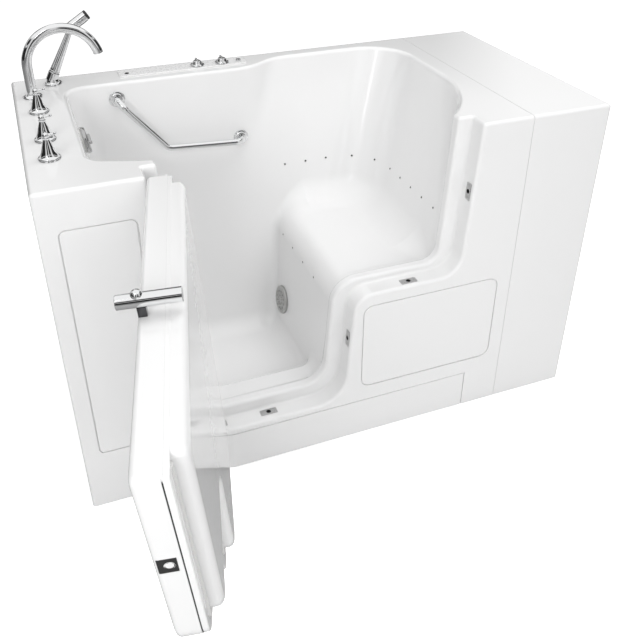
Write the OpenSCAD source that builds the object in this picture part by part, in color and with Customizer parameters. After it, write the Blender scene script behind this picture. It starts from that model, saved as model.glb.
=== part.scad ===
// Walk-in bathtub with an outward opening L-shaped door, millimetres, +Z up.
// Drawn with X to the right, Y to the back wall and Z up from the floor, with the front left
// corner at zero, then placed so that the origin is under the centre levelling foot.

/* [Overall] */
// Length of the tub with its extension panel
overall_l = 1524; // [1450:1:1700]
// Length of the tub body, up to the seam of the extension panel
body_l = 1274; // [1200:1:1340]
// Depth from the front face to the back wall
tub_w = 788; // [740:1:850]
// Height of the deck above the floor
deck_h = 966; // [940:1:1020]
// Thickness of the moulded shell
wall = 8; // [6:0.5:10]
// Clear height of the skirts above the floor
skirt_gap = 4; // [2:1:10]
// Height of the down-turned lips of the deck
lip_h = 40; // [25:1:60]

/* [Door opening] */
// Left edge of the opening at deck level
open_left = 250; // [240:1:260]
// Width of the front face right of the opening, at deck level
seat_end_w = 152; // [144:1:162]
// Lean of the hinge edge, degrees
hinge_lean = 2.7; // [2:0.1:3.2]
// Lean of the strike edge, degrees
strike_lean = 3.2; // [2:0.1:4]
// Height of the threshold above the floor
threshold_h = 151; // [145:1:165]
// Right edge of the low part of the opening at threshold level
open_riser = 747; // [735:1:760]
// Lean of that edge, degrees
riser_lean = 4.4; // [3:0.1:6]
// Height of the sill in front of the seat
sill_h = 511; // [495:1:530]
// Corner radius between threshold and riser
corner_low = 95; // [80:1:110]
// Corner radius between riser and sill
corner_mid = 60; // [50:1:70]
// Corner radius between sill and strike edge
corner_high = 66; // [55:1:80]
// Depth of the first ledge of the door frame
step_y = 60; // [58:0.5:64]
// Depth of the whole door frame
frame_depth = 92; // [91:0.5:98]
// Step width at the hinge side
step_hinge = 36; // [32:1:40]
// Step height at the threshold
step_threshold = 38; // [34:1:42]
// Step width at the riser
step_riser = 42; // [38:1:44]
// Step height at the sill
step_sill = 19; // [17:1:24]
// Step width at the strike side
step_strike = 40; // [36:1:44]
// Start of the chamfered corner of the threshold, along the front
chamfer_x = 405; // [395:1:430]
// Depth of that chamfer at its left end
chamfer_y = 48; // [36:1:52]

/* [Basin] */
// Left edge of the basin at deck level
basin_left = 140; // [134:1:150]
// Width of the deck right of the basin
deck_right_w = 61; // [54:1:74]
// Width of the deck behind the foot well
deck_well_w = 125; // [116:1:133]
// Width of the deck behind the seat
deck_seat_w = 55; // [50:1:66]
// Height of the foot well floor
floor_h = 120; // [112:1:128]
// Height of the seat pan
seat_h = 505; // [495:1:509]
// Distance of the riser's foot inside the opening's edge
riser_in = 48; // [45:1:57]
// Distance of the riser's top outside the opening's edge
riser_out = 5; // [0:1:13]
// Lean of the left end wall, degrees
left_lean = 10; // [8:0.5:11]
// Lean of the back rest, degrees
rest_lean = 18; // [16:0.5:19]
// Lean of the wall behind the seat, degrees
seat_wall_lean = 15.5; // [14:0.5:16]
// Lean of the wall behind the foot well, degrees
well_wall_lean = 1.5; // [1:0.1:2.5]
// Inner end of the threshold plateau
plateau_y = 168; // [160:1:176]
// Fillet between seat, back rest and wall
seat_fillet = 88; // [80:1:95]

/* [Door] */
// Gap around the closed door
door_gap = 4; // [3.5:0.1:5]
// Thickness of the outer skin pan
pan_t = 44; // [40:0.5:45]
// Thickness of the flange plate behind it
flange_t = 6.5; // [5:0.5:7]
// Total thickness of the door
door_t = 84; // [80:0.5:86]
// Thickness of the door skins
skin = 5; // [4:0.5:6]
// Thickness of the dark seam strip between pan and flange
seam_t = 1.5; // [1:0.1:2]
// Opening angle of the door, degrees
door_open = 102.7; // [95:0.1:105]
// Backward lean of the hinge line, degrees
hinge_back_lean = 1; // [0.5:0.1:1.5]
// Radius of the hinge knuckles
knuckle_r = 5; // [4.5:0.1:5.5]
// Radius of the hinge pins
hinge_pin_r = 2.5; // [2:0.1:3]
// Length of each hinge
hinge_l = 90; // [75:1:110]
// Thickness of the hinge leaves
leaf_t = 1.5; // [1:0.1:1.8]

/* [Latch] */
// Distance of the lever from the hinge edge at deck level
lever_x = 510; // [490:1:530]
// Diameter of the lever bar
lever_bar_d = 27; // [24:1:30]
// Length of the lever bar
lever_bar_l = 113; // [100:1:125]
// Height of the lever bar's axis above the deck
lever_h = 32; // [30:1:38]
// Diameter of the latch shaft
shaft_d = 8; // [7:0.5:9]
// Diameter of the latch bolts
bolt_d = 12; // [10:0.5:13]
// Travel of the latch bolts
bolt_travel = 10; // [8:0.5:12]
// Depth of the upper bolts behind the front face
bolt_y = 24; // [21:0.5:27]
// Depth of the threshold bolts behind the front face
low_bolt_y = 34; // [31:0.5:34]
// Height of the jamb bolt
jamb_bolt_h = 764; // [740:1:800]
// Height of the riser bolt
riser_bolt_h = 360; // [330:1:400]
// Distance of the sill bolt from the opening's right edge
sill_bolt_in = 177; // [152:1:202]
// Distance of the right threshold bolt from the opening's low edge
threshold_bolt_in = 224; // [187:1:257]
// Spacing of the two threshold bolts
threshold_bolt_gap = 150; // [130:1:170]

/* [Panels] */
// Thickness of the access panels
panel_t = 4; // [3:0.5:4.5]
// Visible gap around the panels
panel_gap = 3; // [2:0.5:4]
// Left edge of the side access panel
side_panel_x = 46; // [44:1:60]
// Distance of the side access panel from the opening
side_panel_in = 32; // [28:1:45]
// Lower edge of the side access panel
side_panel_z = 193; // [180:1:220]
// Distance of the side access panel under the deck
side_panel_under = 100; // [86:1:126]
// Distance of the seat access panel from the opening's low edge
seat_panel_from = 54; // [53:1:65]
// Distance of the seat access panel from the extension seam
seat_panel_in = 45; // [42:1:74]
// Lower edge of the seat access panel
seat_panel_z = 187; // [180:1:200]
// Distance of the seat access panel under the sill
seat_panel_under = 41; // [37:1:61]
// Distance of the toe-kick panel from the extension seam
plinth_in = 121; // [94:1:144]
// Height of the toe-kick panel
plinth_h = 131; // [126:1:135]

/* [Fittings] */
// Distance of the deck taps from the left edge
tap_x = 60; // [55:1:66]
// Diameter of the spout tube
spout_d = 27; // [24:1:30]
// Bend radius of the spout
spout_bend = 98; // [90:1:105]
// Height of the spout's bend centre above the deck
spout_rise = 84; // [75:1:100]
// Distance of the spout from the front
spout_y = 627; // [620:1:640]
// Position of the first, second and third handle from the front
handle_ys = [180, 299, 499];
// Height of the bell handles
bell_h = 60; // [55:1:70]
// Foot diameter of the bell handles
bell_d = 50; // [46:1:54]
// Lean of the hand shower, degrees
shower_lean = 28; // [24:1:32]
// Length of the hand shower's handle
shower_l = 160; // [148:1:172]
// Diameter of the grab bar tube
grab_d = 20; // [18:1:25]
// Clear distance of the grab bar's axis from the wall
grab_off = 46; // [42:1:55]
// Diameter of the threaded tap inlets, half inch
inlet_d = 20.96; // [20.9:0.01:21]
// Diameter of the waste outlet pipe
waste_d = 40; // [38:1:42]
// Diameter of the overflow dial
dial_d = 76; // [70:1:82]
// Diameter of the round cover on the riser
cover_d = 95; // [88:1:100]

/* [Frame] */
// Size of the frame's square tube
tube = 25; // [22:1:28]
// Wall of that tube
tube_wall = 2; // [1.5:0.5:3]
// Height of the levelling feet under the frame
foot_h = 42; // [36:1:46]

/* [Hidden] */

$fn = 48;
eps = 0.01;
over = 60;
arc_step = 11.25;
run_fit = 0.05;
seat_fit = 0.3;

white = "white";
chrome = "silver";
steel = "lightslategray";
dark = "dimgray";

// ---- outlines ---------------------------------------------------------------------------------

function unit(v) = v / norm(v);
function prev(p, i) = p[(i + len(p) - 1) % len(p)];
function next(p, i) = p[(i + 1) % len(p)];
function is_convex(p, i) = cross(p[i] - prev(p, i), next(p, i) - p[i]) > 0;

// Vertex of an anticlockwise outline after each edge has moved outwards by g.
function grown_corner(a, b, c, g) =
    let (u = unit(b - a), v = unit(c - b))
    b + [u[1] + v[1], -u[0] - v[0]] * g / (1 + u * v);
function grown(p, g) = [for (i = [0:len(p) - 1]) grown_corner(prev(p, i), p[i], next(p, i), g)];
function grown_radii(p, r, g) =
    [for (i = [0:len(p) - 1]) r[i] == 0 ? 0 : max(r[i] + (is_convex(p, i) ? g : -g), 1)];

// Points of a corner b rounded with radius r between its neighbours a and c.
function corner_arc(a, b, c, r) =
    let (
        u = unit(a - b),
        v = unit(c - b),
        half = acos(u * v) / 2,
        centre = b + unit(u + v) * r / sin(half),
        t1 = b + u * r / tan(half) - centre,
        t2 = b + v * r / tan(half) - centre,
        from = atan2(t1[1], t1[0]),
        sweep = (atan2(t2[1], t2[0]) - from + 540) % 360 - 180,
        n = max(2, ceil(abs(sweep) / arc_step))
    )
    [for (k = [0:n]) centre + r * [cos(from + sweep * k / n), sin(from + sweep * k / n)]];
function rounded(p, r) =
    [for (i = [0:len(p) - 1])
        each (r[i] == 0 ? [p[i]] : corner_arc(prev(p, i), p[i], next(p, i), r[i]))];
function rounded_grown(p, r, g) = rounded(grown(p, g), grown_radii(p, r, g));

function rect(x, y, x2, y2) = [[x, y], [x2, y], [x2, y2], [x, y2]];
function round_rect(x, y, x2, y2, r) = rounded(rect(x, y, x2, y2), [r, r, r, r]);

// Extrudes an X-Z outline along Y, a Y-Z outline along X, and an X-Y outline along Z.
module prism_y(p, y, y2) {
    translate([0, y2, 0])
        rotate([90, 0, 0])
            linear_extrude(y2 - y)
                polygon(p);
}
module prism_x(p, x, x2) {
    translate([x, 0, 0])
        rotate([90, 0, 90])
            linear_extrude(x2 - x)
                polygon(p);
}
module prism_z(p, z, z2) {
    translate([0, 0, z])
        linear_extrude(z2 - z)
            polygon(p);
}
module box(a, b) {
    translate(a)
        cube(b - a);
}
module rod(a, b, d) {
    v = b - a;
    translate(a)
        rotate([0, acos(v[2] / norm(v)), atan2(v[1], v[0])])
            cylinder(d = d, h = norm(v));
}
module tube_along_z(d, bore, h) {
    difference() {
        cylinder(d = d, h = h);
        translate([0, 0, -1])
            cylinder(d = bore, h = h + 2);
    }
}
module place() {
    translate([-overall_l / 2, -tub_w / 2, 0])
        children();
}

// ---- door opening -----------------------------------------------------------------------------

open_right = body_l - seat_end_w;
basin_right = body_l - deck_right_w;
well_back = tub_w - deck_well_w;
seat_back = tub_w - deck_seat_w;
riser_foot = open_riser - riser_in;
riser_top = open_riser + riser_out;
sill_bolt_x = open_right - sill_bolt_in;
threshold_bolt_x = open_riser - threshold_bolt_in;
side_panel_x2 = open_left - side_panel_in;
side_panel_z2 = deck_h - side_panel_under;
seat_panel_x = open_riser + seat_panel_from;
seat_panel_x2 = body_l - seat_panel_in;
seat_panel_z2 = sill_h - seat_panel_under;
plinth_x2 = body_l - plinth_in;

function hinge_edge(z) = open_left + (deck_h - z) * tan(hinge_lean);
function riser_edge(z) = open_riser + (z - threshold_h) * tan(riser_lean);
function strike_edge(z) = open_right - (deck_h - z) * tan(strike_lean);

// Outline of the opening, moved inwards by e = [hinge, threshold, riser, sill, strike].
function opening(e, top) =
    let (low = threshold_h + e[1], high = sill_h + e[3])
    [[hinge_edge(top) + e[0], top],
     [hinge_edge(low) + e[0], low],
     [riser_edge(low) - e[2], low],
     [riser_edge(high) - e[2], high],
     [strike_edge(high) - e[4], high],
     [strike_edge(top) - e[4], top]];
function opening_radii(e) =
    [0, 14, corner_low - e[2] / 2, corner_mid + e[3], corner_high - e[4] / 2, 0];
function opening_outline(e, top) = rounded(opening(e, top), opening_radii(e));

no_step = [0, 0, 0, 0, 0];
steps = [step_hinge, step_threshold, step_riser, step_sill, step_strike];
edge_gap = [1, 1, 1, 1, 1];
flange_y = pan_t + seam_t;
plug_y = flange_y + flange_t;
frame_lap = 44;
cut_top = deck_h + over;

// Chamfered front edge of the threshold.
chamfer_x0 = hinge_edge(threshold_h) - 38;
chamfer_slope = chamfer_y / (chamfer_x - chamfer_x0);
function chamfer_wedge(d) =
    [[chamfer_x0, -1], [chamfer_x + 1 / chamfer_slope, -1], [chamfer_x, d],
     [chamfer_x0, chamfer_y + d]];

// ---- basin ------------------------------------------------------------------------------------

floor_left = basin_left + (deck_h - floor_h) * tan(left_lean);
rest_foot = basin_right - (deck_h - seat_h) * tan(rest_lean);
seat_foot_y = seat_back - (deck_h - seat_h) * tan(seat_wall_lean);
well_foot_y = well_back - (deck_h - floor_h) * tan(well_wall_lean);
plateau_h = threshold_h + step_threshold - 4;
shift_x = riser_foot - 9;

function left_at(z) = basin_left + (deck_h - z) * tan(left_lean);
function rest_at(z) = basin_right - (deck_h - z) * tan(rest_lean);
function seat_wall_at(z) = seat_back - (deck_h - z) * tan(seat_wall_lean);
function well_wall_at(z) = well_back - (deck_h - z) * tan(well_wall_lean);
riser_slope = (riser_top - riser_foot) / (seat_h - floor_h);
riser_angle = atan(riser_slope);
function riser_at(z) = riser_foot + (z - floor_h) * riser_slope;

// Long section, left to right: end wall, foot well, riser, seat, back rest.
elevation = [
    [left_at(cut_top), cut_top], [floor_left, floor_h], [riser_foot, floor_h],
    [riser_top, seat_h], [rest_foot, seat_h], [rest_at(cut_top), cut_top]];
elevation_r = [0, 70, 45, 70, seat_fillet, 0];
// Cross sections through the foot well and through the seat, front to back.
well_section = [
    [frame_depth, cut_top], [frame_depth, plateau_h], [plateau_y, plateau_h - 5],
    [plateau_y + 10, floor_h], [well_foot_y, floor_h], [well_wall_at(cut_top), cut_top]];
well_section_r = [0, 0, 12, 28, 60, 0];
seat_section = [
    [frame_depth, cut_top], [frame_depth, seat_h], [seat_foot_y, seat_h],
    [seat_wall_at(cut_top), cut_top]];
seat_section_r = [0, 0, seat_fillet, 0];
// Plans of the foot well and of the seat hollow.
well_left = open_left + step_hinge - 3;
seat_left = open_right - step_strike - 1;
well_front = [basin_left, 140];
seat_front = [basin_right, 213];
shift_x2 = shift_x + 110;
blend_y = well_back - 100;
well_plan = [
    [well_left, frame_depth], [shift_x2, frame_depth], [shift_x2, blend_y],
    [shift_x, well_back + 20], [shift_x - 30, well_back + over], [basin_left, well_back + over],
    well_front];
well_plan_r = [0, 0, 110, 0, 0, 0, 0];
shift_x0 = shift_x - 90;
seat_plan = [
    [shift_x0, frame_depth], [seat_left, frame_depth], seat_front,
    [basin_right, seat_back + over], [shift_x0, seat_back + over]];
// The back wall swings outwards from the foot well to the seat: a slanted length with a rounded
// corner at each end.
shift_turn = 34.4;
shift_r = 200;
swing_r = 130;
shift_end = [shift_x + 108, seat_back];
shift_start_y = well_back - 0.3;
shift_plan = [
    [shift_x0, -over], [body_l + over, -over], [body_l + over, seat_back + over],
    shift_end + over * [1 / tan(shift_turn), 1],
    [shift_end[0] - (seat_back - shift_start_y) / tan(shift_turn), shift_start_y],
    [shift_x0, shift_start_y]];
shift_plan_r = [0, 0, 0, 0, shift_r, 0];

// Outward normals of the walls.
left_n = [-cos(left_lean), 0, -sin(left_lean)];
rest_n = [cos(rest_lean), 0, -sin(rest_lean)];
seat_wall_n = [0, cos(seat_wall_lean), -sin(seat_wall_lean)];
well_wall_n = [0, cos(well_wall_lean), -sin(well_wall_lean)];
shift_n = [
    -sin(shift_turn), cos(shift_turn) * cos(well_wall_lean), -cos(shift_turn) * sin(well_wall_lean)];
well_front_n = unit([well_front[1] - frame_depth, well_left - well_front[0], 0]) * -1;
seat_front_n = unit([seat_front[1] - frame_depth, seat_left - seat_front[0], 0]);
left_r = 58;
left_front_r = 55;
rest_r = 150;
rest_front_r = 150;

// Space between two leaning walls that meet at p, with their corner rounded by r: the edge of
// the corner runs along the line where the walls meet.
function edge_dir(n1, n2) = unit(cross(n1, n2));
function edge_side(n1, n2) = cross(edge_dir(n1, n2), n1);
function columns(a, b, c, p) =
    [[a[0], b[0], c[0], p[0]], [a[1], b[1], c[1], p[1]], [a[2], b[2], c[2], p[2]], [0, 0, 0, 1]];
far = 2 * overall_l;
module corner_space(p, n1, n2, r, g) {
    d = edge_dir(n1, n2);
    side = edge_side(n1, n2);
    t = [-(n2 * side), n2 * n1] * far;
    outline = [[0, -far], [0, 0], t, t + [0, -far]];
    multmatrix(columns(n1, side, d, p))
        translate([0, 0, -overall_l])
            linear_extrude(far)
                polygon(rounded_grown(outline, [0, r, 0, 0], g));
}

module well_hollow(g) {
    intersection() {
        prism_z(rounded_grown(well_plan, well_plan_r, g), 0, cut_top);
        prism_y(rounded_grown(elevation, elevation_r, g), 0, tub_w);
        prism_x(rounded_grown(well_section, well_section_r, g), 0, body_l);
        corner_space([basin_left, well_back, deck_h], well_wall_n, left_n, left_r, g);
        corner_space(concat(well_front, deck_h), left_n, well_front_n, left_front_r, g);
    }
}
module seat_hollow(g) {
    intersection() {
        prism_z(grown(seat_plan, g), 0, cut_top);
        translate([0, well_back, deck_h])
            rotate([-well_wall_lean, 0, 0])
                translate([0, -well_back, -deck_h])
                    prism_z(rounded_grown(shift_plan, shift_plan_r, g), 0, cut_top + over);
        prism_y(rounded_grown(elevation, elevation_r, g), 0, tub_w);
        prism_x(rounded_grown(seat_section, seat_section_r, g), 0, body_l);
        corner_space([basin_right, seat_back, deck_h], rest_n, seat_wall_n, rest_r, g);
        corner_space(concat(seat_front, deck_h), seat_front_n, rest_n, rest_front_r, g);
        corner_space(concat(shift_end, deck_h), seat_wall_n, shift_n, swing_r, g);
    }
}
// Left of the chamfered threshold corner the plateau runs further back.
plateau_x = chamfer_x + 15;
plateau_x0 = basin_left;
module plateau_wedge(g) {
    wedge = [[plateau_x0, frame_depth], [plateau_x, frame_depth], [plateau_x, plateau_y],
        [plateau_x0, plateau_y + (plateau_x - plateau_x0) * chamfer_slope]];
    prism_z(grown(wedge, -g), 0, plateau_h - 5 - g);
}
module basin_hollow(g) {
    difference() {
        union() {
            well_hollow(g);
            seat_hollow(g);
        }
        plateau_wedge(g);
    }
}

// Local frames on the basin walls: Z points into the basin.
module on_left_wall(y, z) {
    translate([left_at(z), y, z])
        rotate([0, 90 - left_lean, 0])
            children();
}
module on_riser(y, z) {
    translate([riser_at(z), y, z])
        rotate([0, riser_angle - 90, 0])
            children();
}
module on_rest(y, z) {
    translate([rest_at(z), y, z])
        rotate([0, rest_lean - 90, 0])
            children();
}
module on_seat_wall(x, z) {
    translate([x, seat_wall_at(z), z])
        rotate([90 - seat_wall_lean, 0, 0])
            children();
}
module on_seat_corner(turn, z) {
    d = edge_dir(rest_n, seat_wall_n);
    side = edge_side(rest_n, seat_wall_n);
    half = 90 - corner_turn / 2;
    out = rest_n * cos(turn) + side * sin(turn);
    axis = [basin_right, seat_back, deck_h] - rest_n * rest_r - side * rest_r / tan(half);
    foot = axis + out * rest_r * cos(corner_facet / 2);
    multmatrix(columns(d, cross(d, out), -out, foot + d * (z - foot[2]) / d[2]))
        children();
}

jet_h = seat_h + 127;
jet_d = 7;
jet_pitch = 73;
seat_jet_xs = [for (x = [basin_right - 273:-jet_pitch:shift_x + 100]) x];
corner_turn = acos(rest_n * seat_wall_n);
corner_facet = corner_turn / ceil(corner_turn / arc_step);
corner_jet_turns = [2.5 * corner_facet, 5.5 * corner_facet];
rest_jet_ys = [for (y = [190:jet_pitch:seat_back - 240]) y];
riser_jet_pitch = 92.7;
riser_jet_ys = [for (y = [241:riser_jet_pitch:well_back - 51]) y];
riser_jet_h = seat_h - 66;
overflow_y = handle_ys[2] + 1;
overflow_h = deck_h - 98;
drain_x = basin_left + 260;
drain_y = well_back - 243;
drain_d = 44;
overflow_hole_d = 50;
cover_y = well_back - 209;
cover_h = floor_h + 108;
suction_d = 40;

module at_seat_jets() {
    for (x = seat_jet_xs)
        on_seat_wall(x, jet_h)
            children();
    for (turn = corner_jet_turns)
        on_seat_corner(turn, jet_h)
            children();
    for (y = rest_jet_ys)
        on_rest(y, jet_h)
            children();
}
module at_riser_jets() {
    for (y = riser_jet_ys)
        on_riser(y, riser_jet_h)
            children();
}
module through(d) {
    translate([0, 0, -3 * wall])
        cylinder(d = d, h = 4 * wall);
}

module basin_shell() {
    color(white)
        difference() {
            intersection() {
                basin_hollow(wall);
                box([0, frame_depth, 0], [body_l, tub_w, deck_h - wall]);
            }
            basin_hollow(0);
            on_left_wall(overflow_y, overflow_h)
                through(overflow_hole_d);
            on_riser(cover_y, cover_h)
                through(suction_d + 2 * run_fit);
            translate([drain_x, drain_y, floor_h])
                through(drain_d);
            at_seat_jets()
                through(jet_d + 2 * run_fit);
            at_riser_jets()
                through(jet_d + 2 * run_fit);
        }
}

// ---- deck and front ---------------------------------------------------------------------------

cradle_x = 115;
cradle_y = tub_w - 68;
cradle_d = 26;
shank_d = 24;
strip_x = 305;
strip_x2 = 700;
strip_y = tub_w - 86;
strip_y2 = tub_w - 22;
strip_t = 4;
knob_xs = [strip_x + 240, strip_x + 318];
knob_y = (strip_y + strip_y2) / 2 - 8;
button_x = strip_x2 - 24;
indicator_x = strip_x + 24;
stem_d = 10;
lip_in = wall;

module deck_rim() {
    color(white)
        difference() {
            union() {
                box([0, 0, deck_h - wall], [body_l, tub_w, deck_h]);
                box([0, wall, deck_h - lip_h], [lip_in, tub_w, deck_h]);
                box([0, tub_w - lip_in, deck_h - lip_h], [body_l, tub_w, deck_h]);
                box([body_l - lip_in, wall, deck_h - lip_h], [body_l, tub_w, deck_h]);
            }
            basin_hollow(0);
            prism_y(opening_outline(no_step, cut_top), -1, step_y);
            prism_y(opening_outline(steps, cut_top), step_y - 1, frame_depth + 1);
            translate([tap_x - 8, spout_y, deck_h])
                through(shank_d);
            for (y = handle_ys)
                translate([tap_x, y, deck_h])
                    through(shank_d);
            translate([cradle_x, cradle_y, deck_h])
                through(cradle_d);
            for (x = knob_xs)
                translate([x, knob_y, deck_h])
                    through(stem_d);
            translate([button_x, knob_y, deck_h])
                through(stem_d);
            translate([indicator_x, knob_y, deck_h])
                through(stem_d);
        }
}

apron_top = deck_h - wall;
plinth_top = plinth_h + panel_gap;
panel_lap = 20;
side_panel_r = 14;
seat_panel_r = 28;
stud_in = 11;
stud_d = 8;
rebate = panel_t + seat_fit;
plinth_stud_xs = [chamfer_x + 75, (chamfer_x + plinth_x2) / 2, plinth_x2 - 73];

module panel_hole(x, z, x2, z2, r) {
    prism_y(round_rect(x - panel_gap, z - panel_gap, x2 + panel_gap, z2 + panel_gap, r + panel_gap),
        -1, rebate);
    prism_y(round_rect(x + panel_lap, z + panel_lap, x2 - panel_lap, z2 - panel_lap, r), -1, wall + 1);
    at_panel_studs(x, z, x2, z2)
        stud_bore();
}
module stud_bore() {
    cylinder(d = stud_d + 2 * run_fit, h = 4 * wall, center = true);
}
module stud() {
    translate([0, 0, panel_t - 1])
        cylinder(d = stud_d, h = wall + 5);
}
module at_plinth_studs() {
    for (x = plinth_stud_xs)
        translate([x, 0, plinth_h - stud_in])
            rotate([-90, 0, 0])
                children();
}
module at_panel_studs(x, z, x2, z2) {
    for (px = [x + stud_in, x2 - stud_in], pz = [z + 2 * stud_in, z2 - 2 * stud_in])
        translate([px, 0, pz])
            rotate([-90, 0, 0])
                children();
}
module panel_plate(x, z, x2, z2, r) {
    prism_y(round_rect(x, z, x2, z2, r), 0, panel_t);
    at_panel_studs(x, z, x2, z2)
        stud();
}

// Places children at each strike: local Z points out of the frame's ledge into the opening.
module at_jamb_strike() {
    translate([strike_edge(jamb_bolt_h), bolt_y, jamb_bolt_h])
        rotate([0, strike_lean - 90, 0])
            children();
}
module at_riser_strike() {
    translate([riser_edge(riser_bolt_h), bolt_y, riser_bolt_h])
        rotate([0, riser_lean - 90, 0])
            children();
}
module at_sill_strike() {
    translate([sill_bolt_x, bolt_y, sill_h])
        children();
}
module at_threshold_strikes() {
    for (x = [threshold_bolt_x, threshold_bolt_x - threshold_bolt_gap])
        translate([x, low_bolt_y, threshold_h])
            children();
}
module at_strikes() {
    at_jamb_strike()
        children();
    at_riser_strike()
        children();
    at_sill_strike()
        children();
    at_threshold_strikes()
        children();
}

strike_l = 50;
strike_w = 22;
strike_t = 1.5;
strike_hole_d = bolt_d + 1.5;
screw_at = 18;
screw_d = 3.5;
plate_fit = 0.02;

module front_apron() {
    color(white)
        difference() {
            intersection() {
                union() {
                    box([0, 0, skirt_gap], [body_l, wall, apron_top]);
                    prism_y(rounded_grown(opening(no_step, cut_top), opening_radii(no_step), wall),
                        0, step_y + wall);
                    prism_y(rounded_grown(opening(steps, cut_top), opening_radii(steps), frame_lap),
                        frame_depth - wall, frame_depth);
                    prism_y(rounded_grown(opening(steps, cut_top), opening_radii(steps), wall),
                        step_y, frame_depth);
                }
                box([0, 0, skirt_gap], [body_l, frame_depth, apron_top]);
            }
            prism_y(opening_outline(no_step, cut_top), -1, step_y);
            prism_y(opening_outline(steps, cut_top), step_y - 1, frame_depth + 1);
            box([chamfer_x0, -1, -1], [plinth_x2 + panel_gap, rebate, plinth_top]);
            box([chamfer_x0, -1, -1], [plinth_x2 - panel_lap, wall + 1, plinth_h - panel_lap]);
            box([chamfer_x0, -1, -1], [chamfer_x, wall + 1, plinth_top]);
            prism_z(chamfer_wedge(0), plinth_top - 1, threshold_h + 1);
            at_plinth_studs()
                stud_bore();
            panel_hole(side_panel_x, side_panel_z, side_panel_x2, side_panel_z2, side_panel_r);
            panel_hole(seat_panel_x, seat_panel_z, seat_panel_x2, seat_panel_z2, seat_panel_r);
            at_strikes()
                through(strike_hole_d);
            at_strikes()
                at_screws()
                    through(screw_d);
        }
    color(white) {
        difference() {
            prism_z(chamfer_wedge(wall), plinth_top, threshold_h - wall);
            prism_z(chamfer_wedge(0), plinth_top - 1, threshold_h);
        }
        box([chamfer_x0 - wall, 0, skirt_gap], [chamfer_x0, chamfer_y + wall, threshold_h]);
    }
}
module at_screws() {
    for (s = [-screw_at, screw_at])
        translate([s, 0, 0])
            children();
}

module strike_plates() {
    color(chrome)
        at_strikes()
            difference() {
                translate([-strike_l / 2, -strike_w / 2, plate_fit])
                    cube([strike_l, strike_w, strike_t - plate_fit]);
                through(strike_hole_d);
                at_screws()
                    through(screw_d);
            }
}
module strike_screws() {
    color(steel)
        at_strikes()
            at_screws() {
                translate([0, 0, strike_t])
                    cylinder(d = 2 * screw_d, h = 1);
                translate([0, 0, -wall])
                    cylinder(d = screw_d - run_fit, h = wall + strike_t + eps);
            }
}

// ---- removable panels -------------------------------------------------------------------------

module side_access_panel() {
    color(white)
        panel_plate(side_panel_x, side_panel_z, side_panel_x2, side_panel_z2, side_panel_r);
}
module seat_access_panel() {
    color(white)
        panel_plate(seat_panel_x, seat_panel_z, seat_panel_x2, seat_panel_z2, seat_panel_r);
}
module plinth_panel() {
    color(white) {
        box([chamfer_x, 0, skirt_gap], [plinth_x2, panel_t, plinth_h]);
        difference() {
            prism_z(chamfer_wedge(panel_t), skirt_gap, plinth_h);
            prism_z(chamfer_wedge(0), skirt_gap - 1, plinth_h + 1);
            box([chamfer_x, -2, 0], [chamfer_x + over, over, plinth_h + 1]);
            box([chamfer_x0 - 1, -2, 0], [chamfer_x0 + panel_gap, over, plinth_h + 1]);
        }
        at_plinth_studs()
            stud();
    }
}

extension_gap = 1.2;
module extension_panel() {
    x = body_l + extension_gap;
    color(white) {
        box([x, 0, deck_h - wall], [overall_l, tub_w, deck_h]);
        box([x, 0, skirt_gap], [overall_l, wall, deck_h - wall]);
        box([overall_l - wall, wall, deck_h - lip_h], [overall_l, tub_w, deck_h - wall]);
        box([x, tub_w - wall, deck_h - lip_h], [overall_l - wall, tub_w, deck_h - wall]);
    }
}

// ---- support frame ----------------------------------------------------------------------------

rail_z = foot_h;
rail_front = frame_depth + 6;
rail_back = tub_w - wall - tube - 6;
frame_x = wall + 6;
frame_x2 = body_l - lip_in - tube - 6;
mid_x = overall_l / 2 - tube / 2;
post_top = apron_top;
weld = 0.05;
ext_x = overall_l - wall - tube - 6;

module bar_tube(a, b) {
    size = b - a;
    long = max(size);
    axis = size[0] == long ? [1, 0, 0] : size[1] == long ? [0, 1, 0] : [0, 0, 1];
    side = [1, 1, 1] - axis;
    difference() {
        box(a, b);
        box(a + side * tube_wall - axis, b - side * tube_wall + axis);
    }
}
module support_frame() {
    color(steel) {
        for (y = [rail_front, rail_back])
            bar_tube([frame_x, y, rail_z], [ext_x + tube, y + tube, rail_z + tube]);
        for (x = [frame_x, mid_x, frame_x2])
            bar_tube([x, rail_front + tube + weld, rail_z], [x + tube, rail_back - weld, rail_z + tube]);
        for (x = [frame_x, frame_x2], y = [rail_front, rail_back])
            bar_tube([x, y, rail_z + tube + weld], [x + tube, y + tube, post_top]);
    }
}
bracket_w = 30;
bracket_t = 3;
bracket_in = 190;
module extension_brackets() {
    color(steel) {
        for (y = [rail_front, rail_back])
            bar_tube([ext_x, y, rail_z + tube + weld], [ext_x + tube, y + tube, post_top]);
        for (y = [bracket_in, (tub_w - bracket_w) / 2, tub_w - bracket_in - bracket_w])
            translate([body_l, y, apron_top]) {
                translate([0, 0, -bracket_t])
                    cube([overall_l - wall - body_l, bracket_w, bracket_t]);
                translate([0, 0, wall - lip_h])
                    cube([bracket_t, bracket_w, lip_h - wall]);
            }
    }
}

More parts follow.
